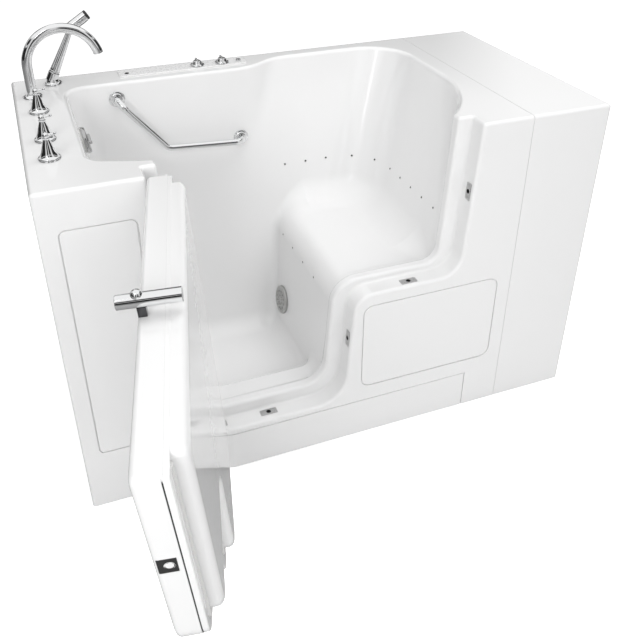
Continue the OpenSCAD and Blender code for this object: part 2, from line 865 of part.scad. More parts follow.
foot_pad_d = 46;
foot_stem_d = 12;
module at_feet() {
    for (x = [frame_x, frame_x2], y = [rail_front, rail_back])
        translate([x + tube / 2, y + tube / 2, 0])
            children();
    translate([overall_l / 2, tub_w / 2, 0])
        children();
    for (y = [rail_front, rail_back])
        translate([ext_x + tube / 2, y + tube / 2, 0])
            children();
}
module levelling_feet() {
    color(dark)
        at_feet() {
            cylinder(d = foot_pad_d, h = 8);
            translate([0, 0, 8 - eps])
                cylinder(d = foot_stem_d, h = rail_z - 8 + eps);
        }
}
module foot_locknuts() {
    color(steel)
        at_feet()
            translate([0, 0, rail_z - 9])
                difference() {
                    cylinder(d = 22, h = 8, $fn = 6);
                    translate([0, 0, -1])
                        cylinder(d = foot_stem_d, h = 12);
                }
}

// ---- door -------------------------------------------------------------------------------------

// The hinge line starts at deck level inside the door's front left corner.
axis_x = open_left + 6;
axis_y = 4;
hinge_axis = [-tan(hinge_lean), tan(hinge_back_lean), 1];
module open_door() {
    translate([axis_x, axis_y, deck_h])
        rotate(a = -door_open, v = hinge_axis)
            translate([-axis_x, -axis_y, -deck_h])
                children();
}
// Local frame with Z along the hinge line and its origin at height z.
module on_hinge(z) {
    translate([axis_x, axis_y, deck_h] + hinge_axis * (z - deck_h))
        rotate([-atan(tan(hinge_back_lean) * cos(hinge_lean)), -hinge_lean, 0])
            children();
}
hinge_low = threshold_h + 79;
hinge_high = deck_h - 86;
hinge_zs = [hinge_low, (hinge_low + hinge_high) / 2, hinge_high];
knuckle_n = 5;
knuckle_l = hinge_l / knuckle_n;
knuckle_gap = 0.3;
module at_hinges() {
    for (z = hinge_zs)
        on_hinge(z)
            translate([0, 0, -hinge_l / 2])
                children();
}
module knuckles(odd) {
    for (k = [odd:2:knuckle_n - 1])
        translate([0, 0, k * knuckle_l + knuckle_gap / 2])
            tube_along_z(2 * knuckle_r, 2 * hinge_pin_r + (odd == 1 ? 2 * run_fit : 0),
                knuckle_l - knuckle_gap);
}
hinge_wall_x = (open_left - axis_x) * cos(hinge_lean) + plate_fit;

pan_e = door_gap * edge_gap;
plug_e = steps + door_gap * edge_gap;
skin_e = skin * edge_gap;

module door_solid(e, top, y, y2) {
    prism_y(opening_outline(e, top), y, y2);
}
hinge_pocket_r = knuckle_r + 1.5;
module hinge_pockets() {
    at_hinges()
        translate([0, 0, -2]) {
            cylinder(r = hinge_pocket_r, h = hinge_l + 4);
            translate([-over / 2, -over, 0])
                cube([over / 2, over, hinge_l + 4]);
        }
}

lever_axis_x = open_left + lever_x;
lever_axis_y = 10.5;
case_top = deck_h - 42;
case_size = [40, 26, 190];
face_plate = [2, 31, 36];
face_off = 3;
guide_d = 18;
guide_l = 22;

// Bolt positions in the closed door: local Z points out of the door towards the strike.
module at_jamb_bolt() {
    translate([strike_edge(jamb_bolt_h) - door_gap, bolt_y, jamb_bolt_h])
        rotate([0, strike_lean + 90, 0])
            children();
}
module at_riser_bolt() {
    translate([riser_edge(riser_bolt_h) - door_gap, bolt_y, riser_bolt_h])
        rotate([0, riser_lean + 90, 0])
            children();
}
module at_sill_bolt() {
    translate([sill_bolt_x, bolt_y, sill_h + door_gap])
        rotate([180, 0, 0])
            children();
}
module at_threshold_bolts() {
    for (x = [threshold_bolt_x, threshold_bolt_x - threshold_bolt_gap])
        translate([x, low_bolt_y, threshold_h + door_gap])
            rotate([180, 0, 0])
                children();
}
module at_bolts() {
    at_jamb_bolt()
        children();
    at_riser_bolt()
        children();
    at_sill_bolt()
        children();
    at_threshold_bolts()
        children();
}

module door_outer_skin() {
    color(white)
        open_door()
            difference() {
                door_solid(pan_e, deck_h, 0, pan_t);
                door_solid(pan_e + skin_e, deck_h - skin, skin, pan_t + 1);
                hinge_pockets();
                translate([lever_axis_x, lever_axis_y, deck_h])
                    through(shaft_d + 2 * run_fit);
                at_bolts()
                    through(guide_d);
                at_jamb_bolt()
                    translate([-face_plate[2] / 2, -face_plate[1] / 2 - face_off, -face_plate[0]])
                        cube([face_plate[2], face_plate[1], over]);
            }
}
module door_inner_skin() {
    color(white)
        open_door()
            difference() {
                union() {
                    door_solid(pan_e + edge_gap, deck_h - 1, flange_y, plug_y);
                    door_solid(plug_e, deck_h, plug_y - 1, door_t);
                }
                door_solid(plug_e + skin_e, deck_h - skin, flange_y - 1, door_t - skin);
            }
}
module door_seam_strip() {
    color(dark)
        open_door()
            difference() {
                door_solid(pan_e + 1.5 * edge_gap, deck_h - 2, pan_t, flange_y);
                door_solid(pan_e + skin_e, deck_h - skin, pan_t - 1, flange_y + 1);
            }
}
gasket_w = 12;
gasket_t = step_y - plug_y - 0.5;
module door_gasket() {
    color("gainsboro")
        open_door()
            difference() {
                door_solid(plug_e - gasket_w * edge_gap, deck_h - 6, plug_y, plug_y + gasket_t);
                door_solid(plug_e, deck_h, plug_y - 1, plug_y + gasket_t + 1);
            }
}
bar_in = 8;
module door_stiffener() {
    z0 = sill_h + door_gap + skin + 6;
    z1 = deck_h - skin - 8;
    x0 = hinge_edge(threshold_h) + door_gap + skin + bar_in;
    x1 = strike_edge(z0) - door_gap - skin - corner_high;
    color(steel)
        open_door() {
            bar_tube([x0, skin, threshold_h + over], [x0 + tube, skin + tube, z1]);
            bar_tube([x0 + tube + weld, skin, z0 + 40], [x1, skin + tube, z0 + 40 + tube]);
        }
}

// Butt hinges: the frame's leaf lies on the jamb and the door's leaf on the door's edge.
leaf_w = 30;
leaf_in = knuckle_r + 1;
tab_in = 2;
module leaf(x, odd, z) {
    width = leaf_w + axis_y + (z - deck_h) * -tan(hinge_back_lean);
    translate([x, leaf_in, knuckle_gap / 2])
        cube([leaf_t, width - leaf_in, hinge_l - knuckle_gap]);
    for (k = [odd:2:knuckle_n - 1])
        translate([x, tab_in, k * knuckle_l + knuckle_gap / 2])
            cube([leaf_t, leaf_in - tab_in + eps, knuckle_l - knuckle_gap]);
}
module hinge_frame_leaves() {
    color(chrome)
        for (z = hinge_zs)
            on_hinge(z)
                translate([0, 0, -hinge_l / 2]) {
                    knuckles(0);
                    leaf(hinge_wall_x, 0, z);
                    for (k = [0:2:knuckle_n - 1])
                        translate([hinge_wall_x, knuckle_r - leaf_t, k * knuckle_l + knuckle_gap / 2])
                            cube([knuckle_r - hinge_pin_r, leaf_t, knuckle_l - knuckle_gap]);
                }
}
module hinge_pins() {
    color(steel)
        at_hinges()
            translate([0, 0, -1])
                cylinder(r = hinge_pin_r, h = hinge_l + 2);
}
module hinge_door_leaves() {
    color(chrome)
        open_door()
            for (z = hinge_zs)
                on_hinge(z)
                    translate([0, 0, -hinge_l / 2]) {
                        knuckles(1);
                        leaf((open_left - axis_x + door_gap) * cos(hinge_lean) - plate_fit - leaf_t, 1, z);
                    }
}

module latch_case() {
    color(steel)
        open_door()
            difference() {
                translate([lever_axis_x - case_size[0] / 2, skin, case_top - case_size[2]])
                    cube(case_size);
                translate([lever_axis_x, lever_axis_y, case_top - 20])
                    cylinder(d = shaft_d + 2 * run_fit, h = 30);
            }
}
module latch_face_plate() {
    color(dark)
        open_door()
            at_jamb_bolt()
                translate([0, 0, -face_plate[0]])
                    difference() {
                        translate([0.5 - face_plate[2] / 2, 0.5 - face_plate[1] / 2 - face_off, 0])
                            cube([face_plate[2] - 1, face_plate[1] - 1, face_plate[0]]);
                        translate([0, 0, -1])
                            cylinder(d = bolt_d + 2 * run_fit, h = 2 * over);
                    }
}
module bolt_guides() {
    color(steel)
        open_door() {
            at_riser_bolt()
                bolt_guide(0.5);
            at_sill_bolt()
                bolt_guide(0.5);
            at_threshold_bolts()
                bolt_guide(0.5);
            at_jamb_bolt()
                bolt_guide(face_plate[0]);
        }
}
module bolt_guide(back) {
    translate([0, 0, -back - guide_l])
        tube_along_z(guide_d, bolt_d + 2 * run_fit, guide_l);
}
bolt_l = 34;
module bolt() {
    translate([0, 0, -bolt_l - 1]) {
        cylinder(d = bolt_d, h = bolt_l - 2);
        translate([0, 0, bolt_l - 2 - eps])
            cylinder(d1 = bolt_d, d2 = bolt_d - 4, h = 2);
    }
}
module jamb_bolt() {
    color(chrome)
        open_door()
            at_jamb_bolt()
                bolt();
}
module riser_bolt() {
    color(chrome)
        open_door()
            at_riser_bolt()
                bolt();
}
module sill_bolt() {
    color(chrome)
        open_door()
            at_sill_bolt()
                bolt();
}
module threshold_bolts() {
    color(chrome)
        open_door()
            at_threshold_bolts()
                bolt();
}

lever_bar_out = 41;
post_w = 16;
post_in = 20;
ball_d = 22;
module lever_shaft() {
    under = lever_h - lever_bar_d / 2;
    color(chrome)
        open_door()
            translate([lever_axis_x, lever_axis_y, 0]) {
                translate([0, 0, case_top - 18])
                    cylinder(d = shaft_d, h = deck_h - case_top + 20);
                translate([-post_w / 2, -post_w / 2, deck_h + seat_fit])
                    cube([post_w, post_w, under + 2 - seat_fit]);
            }
}
module lever_bar() {
    color(chrome)
        open_door()
            translate([lever_axis_x, lever_axis_y, deck_h])
                difference() {
                    union() {
                        translate([0, -lever_bar_out, lever_h])
                            rotate([-90, 0, 0])
                                cylinder(d = lever_bar_d, h = lever_bar_l);
                        translate([0, -4, lever_h + lever_bar_d / 2 - 3])
                            sphere(d = ball_d);
                    }
                    translate([-post_w / 2, -post_w / 2, 0])
                        cube([post_w, post_w, lever_h - lever_bar_d / 2 + 2]);
                }
}

// ---- fittings in the basin --------------------------------------------------------------------

grab_a = [283, deck_h - 48];
grab_b = [412, deck_h - 206];
grab_c = [652, deck_h - 221];
grab_lap = 0.5;
grab_flange_d = 48;
grab_flange_t = 6;
grab_bend = 30;
bend_sleeve = 0.2;
grab_y = well_wall_at(grab_a[1]) - grab_off;
grab_u = unit(grab_b - grab_a);
grab_v = unit(grab_c - grab_b);
grab_turn = acos(grab_u * grab_v);
function grab_pt(p) = [p[0], grab_y, p[1]];

// The tube's straight lengths are a hair thicker than its bends and lap them.
module grab_length(a, b) {
    lap = unit(b - a) * grab_lap;
    rod(a - lap, b + lap, grab_d + bend_sleeve);
}
module grab_arc(turn) {
    rotate_extrude(angle = turn)
        translate([grab_bend, 0])
            circle(d = grab_d);
}
module grab_end(p, dir) {
    translate(grab_pt(p))
        rotate([0, -atan2(dir[1], dir[0]), 0])
            translate([grab_bend, grab_bend, 0])
                rotate([0, 0, 180])
                    grab_arc(90);
    grab_length(grab_pt(p) + [0, grab_bend, 0],
        [p[0], well_wall_at(p[1]) - grab_flange_t - 2 * grab_lap, p[1]]);
}
module grab_bar_tube() {
    lap = grab_bend * tan(grab_turn / 2);
    centre = grab_b + unit(grab_v - grab_u) * grab_bend / cos(grab_turn / 2);
    color(chrome) {
        grab_end(grab_a, grab_u);
        grab_end(grab_c, -grab_v);
        grab_length(grab_pt(grab_a + grab_u * grab_bend), grab_pt(grab_b - grab_u * lap));
        grab_length(grab_pt(grab_b + grab_v * lap), grab_pt(grab_c - grab_v * grab_bend));
        translate(grab_pt(centre))
            rotate([90, 0, 0])
                rotate([0, 0, atan2(grab_u[1], grab_u[0]) - 90])
                    grab_arc(grab_turn);
    }
}
module grab_bar_flanges() {
    color(chrome)
        for (p = [grab_a, grab_c])
            difference() {
                translate([p[0], well_wall_at(p[1]) - grab_flange_t - 3, p[1]])
                    rotate([-90, 0, 0])
                        cylinder(d = grab_flange_d, h = grab_flange_t + 20);
                translate([p[0], 0, p[1]])
                    rotate([-90, 0, 0])
                        cylinder(d = grab_d + bend_sleeve + run_fit, h = well_wall_at(p[1]) - grab_flange_t);
                prism_x([
                    [well_wall_at(0), 0], [tub_w, 0],
                    [tub_w, cut_top], [well_wall_at(cut_top), cut_top]],
                    0, body_l);
            }
}

overflow_back = -wall - 26;
overflow_stem_d = 8;
dial_t = 20;
module overflow_body() {
    color("whitesmoke")
        on_left_wall(overflow_y, overflow_h)
            difference() {
                union() {
                    translate([0, 0, overflow_back])
                        cylinder(d = overflow_hole_d, h = -overflow_back);
                    cylinder(d = dial_d - 8, h = 4);
                }
                translate([0, 0, overflow_back + 12])
                    cylinder(d = overflow_hole_d - 10, h = over);
                translate([0, 0, overflow_back + 4])
                    cylinder(d = overflow_stem_d + 2 * run_fit, h = over);
            }
}
module overflow_dial() {
    color(chrome)
        on_left_wall(overflow_y, overflow_h) {
            translate([0, 0, 4 + seat_fit])
                cylinder(d = dial_d, h = dial_t);
            translate([0, 0, overflow_back + 5])
                cylinder(d = overflow_stem_d, h = 3 - overflow_back);
        }
}

pipe_d = 38;
pipe_z = 60;
tee_top = floor_h - 16;
tee_low = pipe_z - pipe_d / 2 - 3;
tail_h = 44;
outlet_l = 34;
outlet_low = tee_low - outlet_l;
drop_out = 58;
module overflow_pipe() {
    x = left_at(overflow_h) - drop_out;
    color("whitesmoke")
        difference() {
            union() {
                on_left_wall(overflow_y, overflow_h)
                    translate([0, 0, overflow_back - 12])
                        cylinder(d = pipe_d, h = 12);
                rod([x, overflow_y, pipe_z], [x, overflow_y, overflow_h + 20], pipe_d + 2);
                rod([x, overflow_y, pipe_z + 1], [drain_x, drain_y, pipe_z + 1], pipe_d);
                translate([drain_x, drain_y, tee_low])
                    cylinder(d = drain_d + 10, h = tee_top - tee_low);
                translate([drain_x, drain_y, outlet_low])
                    cylinder(d = waste_d, h = tee_low - outlet_low + 1);
            }
            translate([drain_x, drain_y, floor_h - tail_h])
                cylinder(d = drain_d, h = tail_h);
            translate([drain_x, drain_y, outlet_low - 1])
                cylinder(d = waste_d - 6, h = floor_h);
        }
}

drain_flange_t = 2.5;
stopper_stem_d = 9;
module drain_flange() {
    color(chrome)
        translate([drain_x, drain_y, floor_h - tail_h]) {
            difference() {
                union() {
                    translate([0, 0, tail_h])
                        cylinder(d = 66, h = drain_flange_t);
                    cylinder(d = drain_d, h = tail_h + 1);
                }
                translate([0, 0, -1])
                    cylinder(d = drain_d - 4, h = 2 * tail_h);
            }
            difference() {
                union() {
                    translate([3 - drain_d / 2, -3, 8])
                        cube([drain_d - 6, 6, 6]);
                    translate([0, 0, 8])
                        cylinder(d = stopper_stem_d + 6, h = 6);
                }
                cylinder(d = stopper_stem_d + 2 * run_fit, h = tail_h);
            }
        }
}
module drain_stopper() {
    color(chrome)
        translate([drain_x, drain_y, floor_h + drain_flange_t + seat_fit]) {
            cylinder(d = 54, h = 4);
            translate([0, 0, -tail_h])
                cylinder(d = stopper_stem_d, h = tail_h + 1);
        }
}

module riser_cover() {
    color(chrome)
        on_riser(cover_y, cover_h)
            difference() {
                cylinder(d = cover_d, h = 10);
                translate([0, 0, -1])
                    cylinder(d = cover_d - 8, h = 8);
                for (a = [0:45:315])
                    rotate([0, 0, a])
                        translate([cover_d / 3, 0, 0])
                            cylinder(d = 6, h = 20);
            }
}
module riser_suction_body() {
    color("whitesmoke")
        on_riser(cover_y, cover_h)
            difference() {
                union() {
                    cylinder(d = cover_d - 14, h = 4);
                    translate([0, 0, -wall - 40])
                        cylinder(d = suction_d, h = wall + 41);
                }
                translate([0, 0, -wall - 50])
                    cylinder(d = suction_d - 8, h = 100);
            }
}

jet_head_d = 10;
jet_head_t = 1.4;
jet_lift = 0.2;
jet_tail = 8;
jet_bore = 3.5;
module air_jet() {
    difference() {
        union() {
            translate([0, 0, jet_lift])
                cylinder(d = jet_head_d, h = jet_head_t);
            translate([0, 0, -wall - jet_tail])
                cylinder(d = jet_d, h = wall + jet_tail + jet_lift + eps);
        }
        translate([0, 0, -wall - jet_tail - 1])
            cylinder(d = jet_bore, h = wall + 2 * jet_tail);
    }
}
module seat_air_jets() {
    color(dark)
        at_seat_jets()
            air_jet();
}
module riser_air_jets() {
    color(dark)
        at_riser_jets()
            air_jet();
}

blower_in = [213, 233];
blower_x = basin_right - blower_in[0];
blower_y = well_back - blower_in[1];
blower_base = [220, 180, 12];
blower_d = 170;
blower_h = 110;
blower_out = 60;
blower_out_d = 40;
module air_blower() {
    color(dark)
        translate([blower_x, blower_y, 0]) {
            translate([-blower_base[0] / 2, -blower_base[1] / 2, 0])
                cube(blower_base);
            translate([0, 0, blower_base[2] - eps])
                cylinder(d = blower_d, h = blower_h);
            translate([-blower_out, 0, blower_base[2] + blower_h - 1])
                cylinder(d = blower_out_d, h = blower_out);
        }
}
air_pipe_d = 32;
air_pipe_back = 44;
air_pipe_under = 50;
module air_pipe() {
    x = riser_at(riser_jet_h) + air_pipe_back;
    z = riser_jet_h - air_pipe_under;
    drop_x = blower_x - blower_out;
    low = blower_base[2] + blower_h + blower_out - 1;
    color("whitesmoke") {
        rod([x, riser_jet_ys[0] - 20, z], [x, riser_jet_ys[len(riser_jet_ys) - 1] + 20, z], air_pipe_d);
        rod([x, blower_y, z], [drop_x, blower_y, z], air_pipe_d);
        rod([drop_x, blower_y, z + 10], [drop_x, blower_y, low], air_pipe_d);
    }
}

// ---- deck fittings ----------------------------------------------------------------------------

spout_x = tap_x - 8;
spout_foot = 10;
module spout_base() {
    color(chrome)
        translate([spout_x, spout_y, deck_h])
            difference() {
                union() {
                    cylinder(d = 54, h = 4);
                    translate([0, 0, 3])
                        cylinder(d1 = 44, d2 = 34, h = spout_foot - 3);
                    translate([0, 0, -wall - 40])
                        cylinder(d = shank_d, h = wall + 41);
                }
                translate([0, 0, spout_foot - 8])
                    cylinder(d = 20 + 2 * run_fit, h = 20);
                translate([0, 0, -100])
                    cylinder(d = 12, h = 200);
            }
}
spout_end = 168;
module spout_neck() {
    color(chrome)
        translate([spout_x, spout_y, deck_h]) {
            difference() {
                union() {
                    translate([0, 0, spout_foot + seat_fit])
                        cylinder(d = spout_d + bend_sleeve, h = spout_rise - spout_foot);
                    translate([0, 0, spout_foot - 7])
                        cylinder(d = 20, h = 12);
                    translate([spout_bend, 0, spout_rise])
                        rotate([90, 0, 0])
                            rotate([0, 0, 180 - spout_end])
                                rotate_extrude(angle = spout_end)
                                    translate([spout_bend, 0])
                                        circle(d = spout_d);
                }
                translate([0, 0, -1])
                    cylinder(d = 12, h = spout_rise);
            }
        }
}
module spout_aerator() {
    color(dark)
        translate([spout_x, spout_y, deck_h])
            translate([spout_bend, 0, spout_rise])
                rotate([0, spout_end - 180, 0])
                    translate([spout_bend, 0, -3])
                        cylinder(d = spout_d - 6, h = 3);
}

module at_handles() {
    for (y = handle_ys)
        translate([tap_x, y, deck_h])
            children();
}
module tap_bases() {
    color(chrome)
        at_handles()
            difference() {
                cylinder(d = bell_d + 4, h = 4);
                translate([0, 0, -1])
                    cylinder(d = shank_d, h = 10);
            }
}
valve_l = 44;
inlet_l = 30;
nut_d = 40;
nut_t = 8;
module tap_valve_bodies() {
    color("darkgoldenrod")
        at_handles()
            difference() {
                union() {
                    translate([0, 0, -wall - valve_l])
                        cylinder(d = shank_d - run_fit, h = wall + valve_l + 6);
                    translate([0, 0, -wall - valve_l - inlet_l])
                        cylinder(d = inlet_d, h = inlet_l + 1);
                }
                translate([0, 0, -12])
                    cylinder(d = 10 + 2 * run_fit, h = 30);
                translate([0, 0, -wall - valve_l - inlet_l - 6])
                    cylinder(d = inlet_d - 8, h = 2 * inlet_l);
            }
}
module tap_locknuts() {
    color(steel)
        at_handles()
            translate([0, 0, -wall - nut_t])
                difference() {
                    cylinder(d = nut_d, h = nut_t, $fn = 6);
                    translate([0, 0, -1])
                        cylinder(d = shank_d, h = nut_t + 2);
                }
}
// Bell-shaped handle: profile of arcs turned about the spindle, with a small finial and arm.
neck_r = 7.5;
bell_wall_curve = [for (t = [0:0.125:1])
    [bell_d / 2 - (bell_d / 2 - neck_r) * (0.3 * sin(90 * t) + 0.7 * (1 - cos(90 * t))),
     4 + seat_fit + (bell_h - 14) * (1 - cos(90 * t))]];
module bell_handle() {
    difference() {
        union() {
            rotate_extrude()
                polygon(concat(
                    [[0, 4 + seat_fit]], bell_wall_curve, [[neck_r, bell_h - 4], [0, bell_h - 4]]));
            translate([0, 0, bell_h - 2])
                sphere(d = 16);
            translate([0, 0, bell_h - 2])
                rotate([0, 78, -20])
                    cylinder(d1 = 8, d2 = 6, h = 27);
        }
        translate([0, 0, 0])
            cylinder(d = shank_d + 4, h = 8);
    }
    translate([0, 0, -10])
        cylinder(d = 10, h = 22);
}
module cold_handle() {
    color(chrome)
        translate([tap_x, handle_ys[0], deck_h])
            bell_handle();
}
module diverter_handle() {
    color(chrome)
        translate([tap_x, handle_ys[1], deck_h])
            bell_handle();
}
module hot_handle() {
    color(chrome)
        translate([tap_x, handle_ys[2], deck_h])
            bell_handle();
}

socket_d = 22;
socket_l = 26;
cradle_h = 18;
module on_cradle() {
    translate([cradle_x, cradle_y, deck_h + cradle_h])
        rotate([0, shower_lean, 0])
            children();
}
module shower_cradle() {
    color(chrome)
        difference() {
            union() {
                translate([cradle_x, cradle_y, deck_h])
                    cylinder(d = 52, h = 5);
                translate([cradle_x, cradle_y, deck_h + 4])
                    cylinder(d1 = 40, d2 = 30, h = 16);
                on_cradle()
                    translate([0, 0, -8])
                        cylinder(d = 32, h = socket_l);
                translate([cradle_x, cradle_y, deck_h - wall - 30])
                    cylinder(d = cradle_d, h = wall + 31);
            }
            on_cradle()
                translate([0, 0, -2])
                    cylinder(d = socket_d + 2 * seat_fit, h = 2 * socket_l);
        }
}
head_l = 58;
head_d = 28;
head_lean = 30;
head_back = 8;
face_size = [2.6, 16, 42];
module on_head() {
    translate([0, 0, shower_l])
        rotate([0, head_lean, 0])
            children();
}
module shower_handset() {
    color(chrome)
        on_cradle() {
            cylinder(d = socket_d, h = socket_l);
            translate([0, 0, socket_l - 6])
                cylinder(d1 = 30, d2 = 16, h = shower_l - socket_l + 6);
            on_head()
                difference() {
                    translate([0, 0, -head_back])
                        cylinder(d = head_d, h = head_l + head_back);
                    translate([head_d / 2 - 3, -head_d / 2, 6])
                        cube([head_d, head_d, head_l - 12]);
                }
        }
}
module shower_face() {
    color(dark)
        on_cradle()
            on_head()
                translate([head_d / 2 - 3, -face_size[1] / 2, 8])
                    cube(face_size);
}

module control_strip() {
    color("whitesmoke")
        difference() {
            prism_z(round_rect(strip_x, strip_y, strip_x2, strip_y2, 14), deck_h, deck_h + strip_t);
            for (x = concat(knob_xs, [button_x, indicator_x]))
                translate([x, knob_y, deck_h])
                    through(stem_d);
        }
}
knob_d = 44;
knob_h = 16;
module air_knob() {
    translate([0, 0, strip_t + seat_fit])
        cylinder(d = knob_d, h = 4);
    translate([0, 0, strip_t + 4])
        cylinder(d1 = knob_d - 8, d2 = knob_d - 12, h = knob_h - 4);
    translate([-2, -knob_d / 2 + 3, strip_t + 4])
        cube([4, knob_d - 6, knob_h]);
    translate([0, 0, -wall - 6])
        cylinder(d = stem_d - 2 * run_fit, h = wall + 6 + strip_t + 1);
}
module air_knob_left() {
    color(chrome)
        translate([knob_xs[0], knob_y, deck_h])
            air_knob();
}
module air_knob_right() {
    color(chrome)
        translate([knob_xs[1], knob_y, deck_h])
            air_knob();
}
press = 2.5;
module air_button() {
    color(chrome)
        translate([button_x, knob_y, deck_h]) {
            translate([0, 0, strip_t + press + 0.2])
                cylinder(d = 16, h = 3);
            translate([0, 0, -wall - 4])
                cylinder(d = stem_d - 2 * run_fit, h = wall + 4 + strip_t + press + 1);
        }
}
module strip_indicator() {
    color(dark)
        translate([indicator_x, knob_y, deck_h]) {
            translate([0, 0, strip_t])
                cylinder(d = 13, h = 2);
            translate([0, 0, -wall])
                cylinder(d = stem_d, h = wall + strip_t + 1);
        }
}

place() basin_shell();
place() deck_rim();
place() front_apron();
place() extension_panel();
place() extension_brackets();
place() plinth_panel();
place() side_access_panel();
place() seat_access_panel();
place() support_frame();
place() levelling_feet();
place() foot_locknuts();
place() strike_plates();
place() strike_screws();
place() hinge_frame_leaves();
place() hinge_pins();
place() door_outer_skin();
place() door_inner_skin();
place() door_seam_strip();
place() door_gasket();
place() door_stiffener();
place() hinge_door_leaves();
place() latch_case();
place() latch_face_plate();
place() bolt_guides();
place() lever_shaft();
place() lever_bar();
place() jamb_bolt();
place() sill_bolt();
place() riser_bolt();
place() threshold_bolts();
place() grab_bar_tube();
place() grab_bar_flanges();
place() spout_base();
place() spout_neck();
place() spout_aerator();
place() tap_bases();
place() tap_valve_bodies();
place() tap_locknuts();
place() cold_handle();
place() diverter_handle();
place() hot_handle();
place() shower_cradle();
place() shower_handset();
place() shower_face();
place() overflow_body();
place() overflow_dial();
place() overflow_pipe();
place() drain_flange();
place() drain_stopper();
place() riser_cover();
place() riser_suction_body();
place() seat_air_jets();
place() riser_air_jets();
place() air_blower();
place() air_pipe();
place() control_strip();
place() air_knob_left();
place() air_knob_right();
place() air_button();
place() strip_indicator();
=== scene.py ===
import math

import bmesh
import bpy
import numpy as np
from mathutils import Matrix, Vector


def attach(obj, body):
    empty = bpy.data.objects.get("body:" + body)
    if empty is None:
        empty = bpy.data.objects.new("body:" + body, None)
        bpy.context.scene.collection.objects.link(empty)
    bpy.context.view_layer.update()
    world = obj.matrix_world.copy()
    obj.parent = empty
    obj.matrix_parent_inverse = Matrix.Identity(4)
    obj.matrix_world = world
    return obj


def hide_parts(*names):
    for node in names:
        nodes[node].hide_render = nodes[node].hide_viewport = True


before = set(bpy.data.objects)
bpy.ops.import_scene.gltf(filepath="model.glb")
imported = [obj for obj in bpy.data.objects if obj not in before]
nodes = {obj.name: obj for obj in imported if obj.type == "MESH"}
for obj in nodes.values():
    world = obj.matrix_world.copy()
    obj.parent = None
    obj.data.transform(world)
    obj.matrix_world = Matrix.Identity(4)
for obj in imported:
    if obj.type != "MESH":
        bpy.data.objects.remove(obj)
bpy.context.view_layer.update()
scene = bpy.context.scene


# ---- Camera --------------------------------------------------------------------------------------
# A standing person's view from the front left, looking down into the tub. The vertical shift keeps
# the tub in the frame while the lens stays level with its deck.
camera_data = bpy.data.cameras.new("camera")
camera = bpy.data.objects.new("camera", camera_data)
scene.collection.objects.link(camera)
scene.camera = camera
camera.location = (-0.7250, -1.9873, 1.7205)
camera.rotation_euler = (math.radians(90 - 30.742), 0, math.radians(-21.086))
camera_data.sensor_width = 36
camera_data.lens = 43.637
camera_data.shift_x = -0.0026
camera_data.shift_y = -0.1182
camera_data.clip_start = 0.05
camera_data.clip_end = 50


# ---- Studio --------------------------------------------------------------------------------------
# A bright even sky of soft light, with dark bands and columns that only polished surfaces mirror.
# Large soft lamps light the skirt from the front and the tub from above, and a narrow one draws
# the thin highlights.
scene.view_settings.view_transform = "Standard"
world = bpy.data.worlds.new("studio")
scene.world = world
world.use_nodes = True
sky = world.node_tree
sky_light = 0.43


def grey(value):
    return value, value, value, 1


def grey_ramp(along, stops):
    """Turns a direction into greys. The stops are pairs of a place and its grey."""
    made = sky.nodes.new("ShaderNodeValToRGB")
    elements = made.color_ramp.elements
    while len(elements) < len(stops):
        elements.new(0.5)
    for element, (place, value) in zip(elements, stops):
        element.position = place
        element.color = grey(value)
    sky.links.new(along, made.inputs["Fac"])
    return made.outputs["Color"]


def mix_of(tree, factor, first, second, blend="MIX"):
    """Mixes two colours. Each value given is a plain one or another node's output."""
    made = tree.nodes.new("ShaderNodeMix")
    made.data_type, made.blend_type = "RGBA", blend
    for socket, value in (("Factor", factor), ("A", first), ("B", second)):
        if isinstance(value, bpy.types.NodeSocket):
            tree.links.new(value, made.inputs[socket])
        else:
            made.inputs[socket].default_value = value
    return made.outputs["Result"]


direction = sky.nodes.new("ShaderNodeTexCoord")
parts = sky.nodes.new("ShaderNodeSeparateXYZ")
rays = sky.nodes.new("ShaderNodeLightPath")
sideways = sky.nodes.new("ShaderNodeMapRange")
sideways.inputs["From Min"].default_value = -1
sky.links.new(direction.outputs["Generated"], parts.inputs["Vector"])
sky.links.new(parts.outputs["X"], sideways.inputs["Value"])
bands = grey_ramp(parts.outputs["Z"], [
    (0.0, 0.02), (0.30, 0.02), (0.335, 0.7), (0.37, 0.7), (0.40, 0.04), (0.57, 0.03), (0.63, 1.0)])
columns = grey_ramp(sideways.outputs["Result"], [
    (0.0, 0.02), (0.10, 0.02), (0.14, 0.75), (0.24, 0.75), (0.28, 0.03), (0.40, 0.03), (0.45, 0.7),
    (0.50, 0.7), (0.54, 0.03), (0.74, 0.03), (0.78, 0.8), (0.88, 0.8), (0.92, 0.03)])
crossed = mix_of(sky, 1, bands, columns, "LIGHTEN")
mirrored = mix_of(sky, rays.outputs["Is Glossy Ray"], grey(sky_light), crossed)
seen = mix_of(sky, rays.outputs["Is Camera Ray"], mirrored, grey(1))
sky.links.new(seen, sky.nodes["Background"].inputs["Color"])


def lamp(name, location, target, size, power):
    data = bpy.data.lights.new(name, "AREA")
    data.shape = "RECTANGLE"
    data.size, data.size_y = size
    data.energy = power
    made = bpy.data.objects.new(name, data)
    scene.collection.objects.link(made)
    made.location = location
    aim = Vector(target) - Vector(location)
    made.rotation_euler = aim.to_track_quat("-Z", "Y").to_euler()
    return made


